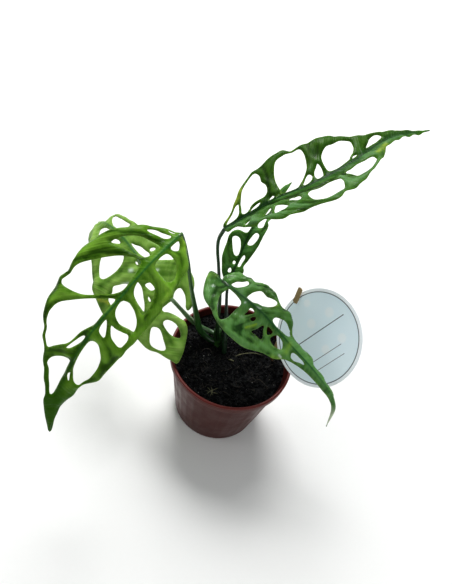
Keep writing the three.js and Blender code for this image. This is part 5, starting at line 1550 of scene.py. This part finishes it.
def makeTagMaterial():
    material, tree, shader = newMaterial("tagCardWhite", Coat_Weight=0.15, Coat_Roughness=0.2)
    uv = wire(tree, "ShaderNodeUVMap", {"uv_map": "tagMap"})
    apart = apartFrom(tree, uv)
    x, y = (times(tree, apart[axis], tag["mapWidth"]) for axis in "XY")

    def awayFrom(value, middle):
        return sums(tree, "ABSOLUTE", sums(tree, "SUBTRACT", value, middle))

    def fromCentre(cx, cy):
        dx, dy = sums(tree, "SUBTRACT", x, cx), sums(tree, "SUBTRACT", y, cy)
        return sums(tree, "SQRT", sums(tree, "ADD", times(tree, dx, dx), times(tree, dy, dy)))

    radius = fromCentre(0.0, 0.0)
    clouds = place(tree, cloudGroup, First=tone(*tag["tone"]), Second=tone(*tag["softTone"]), Patch_Scale=32.0,
                   Patch_Share=0.6, Grain_Scale=1800.0, Grain=0.03)
    outside = ramp(tree, radius, tag["ring"] - 0.1, tag["ring"] + 0.6)
    colour = blendTones(tree, outside, clouds["Color"], tone(*tag["edgeTone"]))
    for cx, cy, size in tag["spots"]:
        glow = times(tree, ramp(tree, fromCentre(cx, cy), size * 0.5, size, 1.0, 0.0), 0.45)
        colour = blendTones(tree, glow, colour, tone(*tag["glowTone"]))
    ink = ramp(tree, awayFrom(radius, tag["ring"]), tag["ringWidth"] * 0.3, tag["ringWidth"] * 0.75, 1.0, 0.0)
    turn = math.radians(tag["lineTurn"])
    lengthwise = sums(tree, "ADD", times(tree, x, math.sin(turn)), times(tree, y, math.cos(turn)))
    sideways = sums(tree, "SUBTRACT", times(tree, x, math.cos(turn)), times(tree, y, math.sin(turn)))
    for offset, middle, half, width in tag["inkLines"]:
        near = ramp(tree, awayFrom(sideways, offset), width * 0.35, width * 0.8, 1.0, 0.0)
        within = ramp(tree, awayFrom(lengthwise, middle), half, half + 0.3, 1.0, 0.0)
        ink = sums(tree, "MAXIMUM", ink, times(tree, near, within))
    inkShare = times(tree, times(tree, ink, attribute(tree, "printed")), 0.9)
    inked = blendTones(tree, inkShare, colour, tone(*tag["ink"]))
    tree.links.new(inked, shader.inputs["Base Color"])
    tree.links.new(ramp(tree, clouds["Patches"], 0.0, 1.0, 0.34, 0.48), shader.inputs["Roughness"])
    bumpNormal(tree, shader, clouds["Grain"], 0.00003)
    return material


def makeTagDisc():
    right, upward, out = tagAxes()
    centre = np.array(tag["centre"])
    _, low, along, across, flatSide = stickAxes()
    # the slot lies where the stick crosses the disc's plane, a little wider than the stick
    reach = np.dot(centre - low, out) / np.dot(along, out)
    crossing = low + along * reach - centre
    slotAt = np.array([np.dot(crossing, right), np.dot(crossing, upward)])
    acrossFlat = np.array([np.dot(across, right), np.dot(across, upward)])
    acrossFlat /= np.linalg.norm(acrossFlat)
    downFlat = np.array([-acrossFlat[1], acrossFlat[0]])
    slotHalf = stick["width"] / 2 + 0.35, stick["thickness"] / 2 / max(0.2, abs(np.dot(flatSide, out))) + 0.6
    turns = np.linspace(0, 2 * math.pi, 40, endpoint=False)
    sideways, endways = (np.sign(wave) * np.abs(wave) ** 0.35 for wave in (np.cos(turns), np.sin(turns)))
    slotLoop = slotAt + np.outer(sideways * slotHalf[0], acrossFlat) + np.outer(endways * slotHalf[1], downFlat)
    loops = [circle(tag["radius"], 1.2), slotLoop]
    flat, faces = flatSheet(loops, 1.6)
    edge = edgeDistance(flat, loops)
    half = tag["thickness"] / 2 * (0.62 + 0.38 * softStep(0, 0.5, edge))
    warp = 0.25 * np.sin(flat[:, 0] / 17 + 0.6) * np.cos(flat[:, 1] / 21)
    plane = centre + np.outer(flat[:, 0], right) + np.outer(flat[:, 1], upward)
    points, faces = closedSheet(plane + np.outer(warp + half, out), plane + np.outer(warp - half, out), faces)
    disc = meshPiece("tagDisc", points * mm, faces)
    layValues(disc.data, "printed", np.repeat([1, 0], len(flat)))
    layMap(disc.data, "tagMap", flat / tag["mapWidth"])
    disc.data.shade_smooth()
    disc.data.set_sharp_from_angle(angle=math.radians(50))
    return disc


def makeStickMaterial():
    material, tree, shader = newMaterial("stickWood", Specular_IOR_Level=0.35)
    where = tree.nodes.new("ShaderNodeTexCoord").outputs["Object"]
    turned = wire(tree, "ShaderNodeMapping", Vector=where, Rotation=(math.radians(-17), 0, 0),
                  Scale=(1, 1, 0.05))
    grain = lumps(tree, 1500.0, 5.0, 0.65, turned, distortion=0.4)
    clouds = place(tree, cloudGroup, First=tone(*stick["tone"]), Second=tone(*stick["dark"]), Patch_Scale=60.0,
                   Patch_Share=0.4, Grain_Scale=2400.0, Grain=0.15)
    grained = blendTones(tree, ramp(tree, grain, 0.45, 0.75, 0.0, 0.75), clouds["Color"], tone(*stick["dark"]))
    height = sums(tree, "MULTIPLY_ADD", grain, 0.006, apartFrom(tree, where)["Z"])
    damp = ramp(tree, height, *(z * mm for z in stick["dampTo"]), 1.0, 0.0)
    tree.links.new(blendTones(tree, damp, grained, tone(*stick["wet"])), shader.inputs["Base Color"])
    tree.links.new(ramp(tree, damp, 0.0, 1.0, 0.72, 0.45), shader.inputs["Roughness"])
    bumpNormal(tree, shader, grain, 0.00012)
    return material


def makeStick():
    # a flat sliver with a rounded top, its long edges eased
    top, low, along, across, flatSide = stickAxes()
    length = np.linalg.norm(top - low)
    half = stick["width"] / 2
    topRise = half * 0.55
    arc = [(half * math.sin(a), length - topRise + topRise * math.cos(a))
           for a in np.radians(np.linspace(88, -88, 13))]
    sides = [(half, y) for y in np.linspace(1, length - 2.5, 50)]
    outline = np.array(sides + arc + [(-x, y) for x, y in sides[::-1]] + [(-half * 0.5, 0), (half * 0.5, 0)])
    flat, faces = flatSheet([outline], 1.3)
    edge = edgeDistance(flat, [outline])
    thick = stick["thickness"] / 2 * (0.55 + 0.45 * softStep(0, 0.7, edge))
    plane = low + np.outer(flat[:, 0], across) + np.outer(flat[:, 1], along)
    points, faces = closedSheet(plane + np.outer(thick, flatSide), plane - np.outer(thick, flatSide), faces)
    piece = meshPiece("tagStick", points * mm, faces)
    piece.data.shade_smooth()
    piece.data.set_sharp_from_angle(angle=math.radians(50))
    return piece


tagDisc = makeTagDisc()
tagDisc.data.materials.append(makeTagMaterial())
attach(tagDisc, "root")
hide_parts("tag_disc")
tagStick = makeStick()
tagStick.data.materials.append(makeStickMaterial())
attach(tagStick, "root")
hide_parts("tag_stick")
print("tag and stick made")
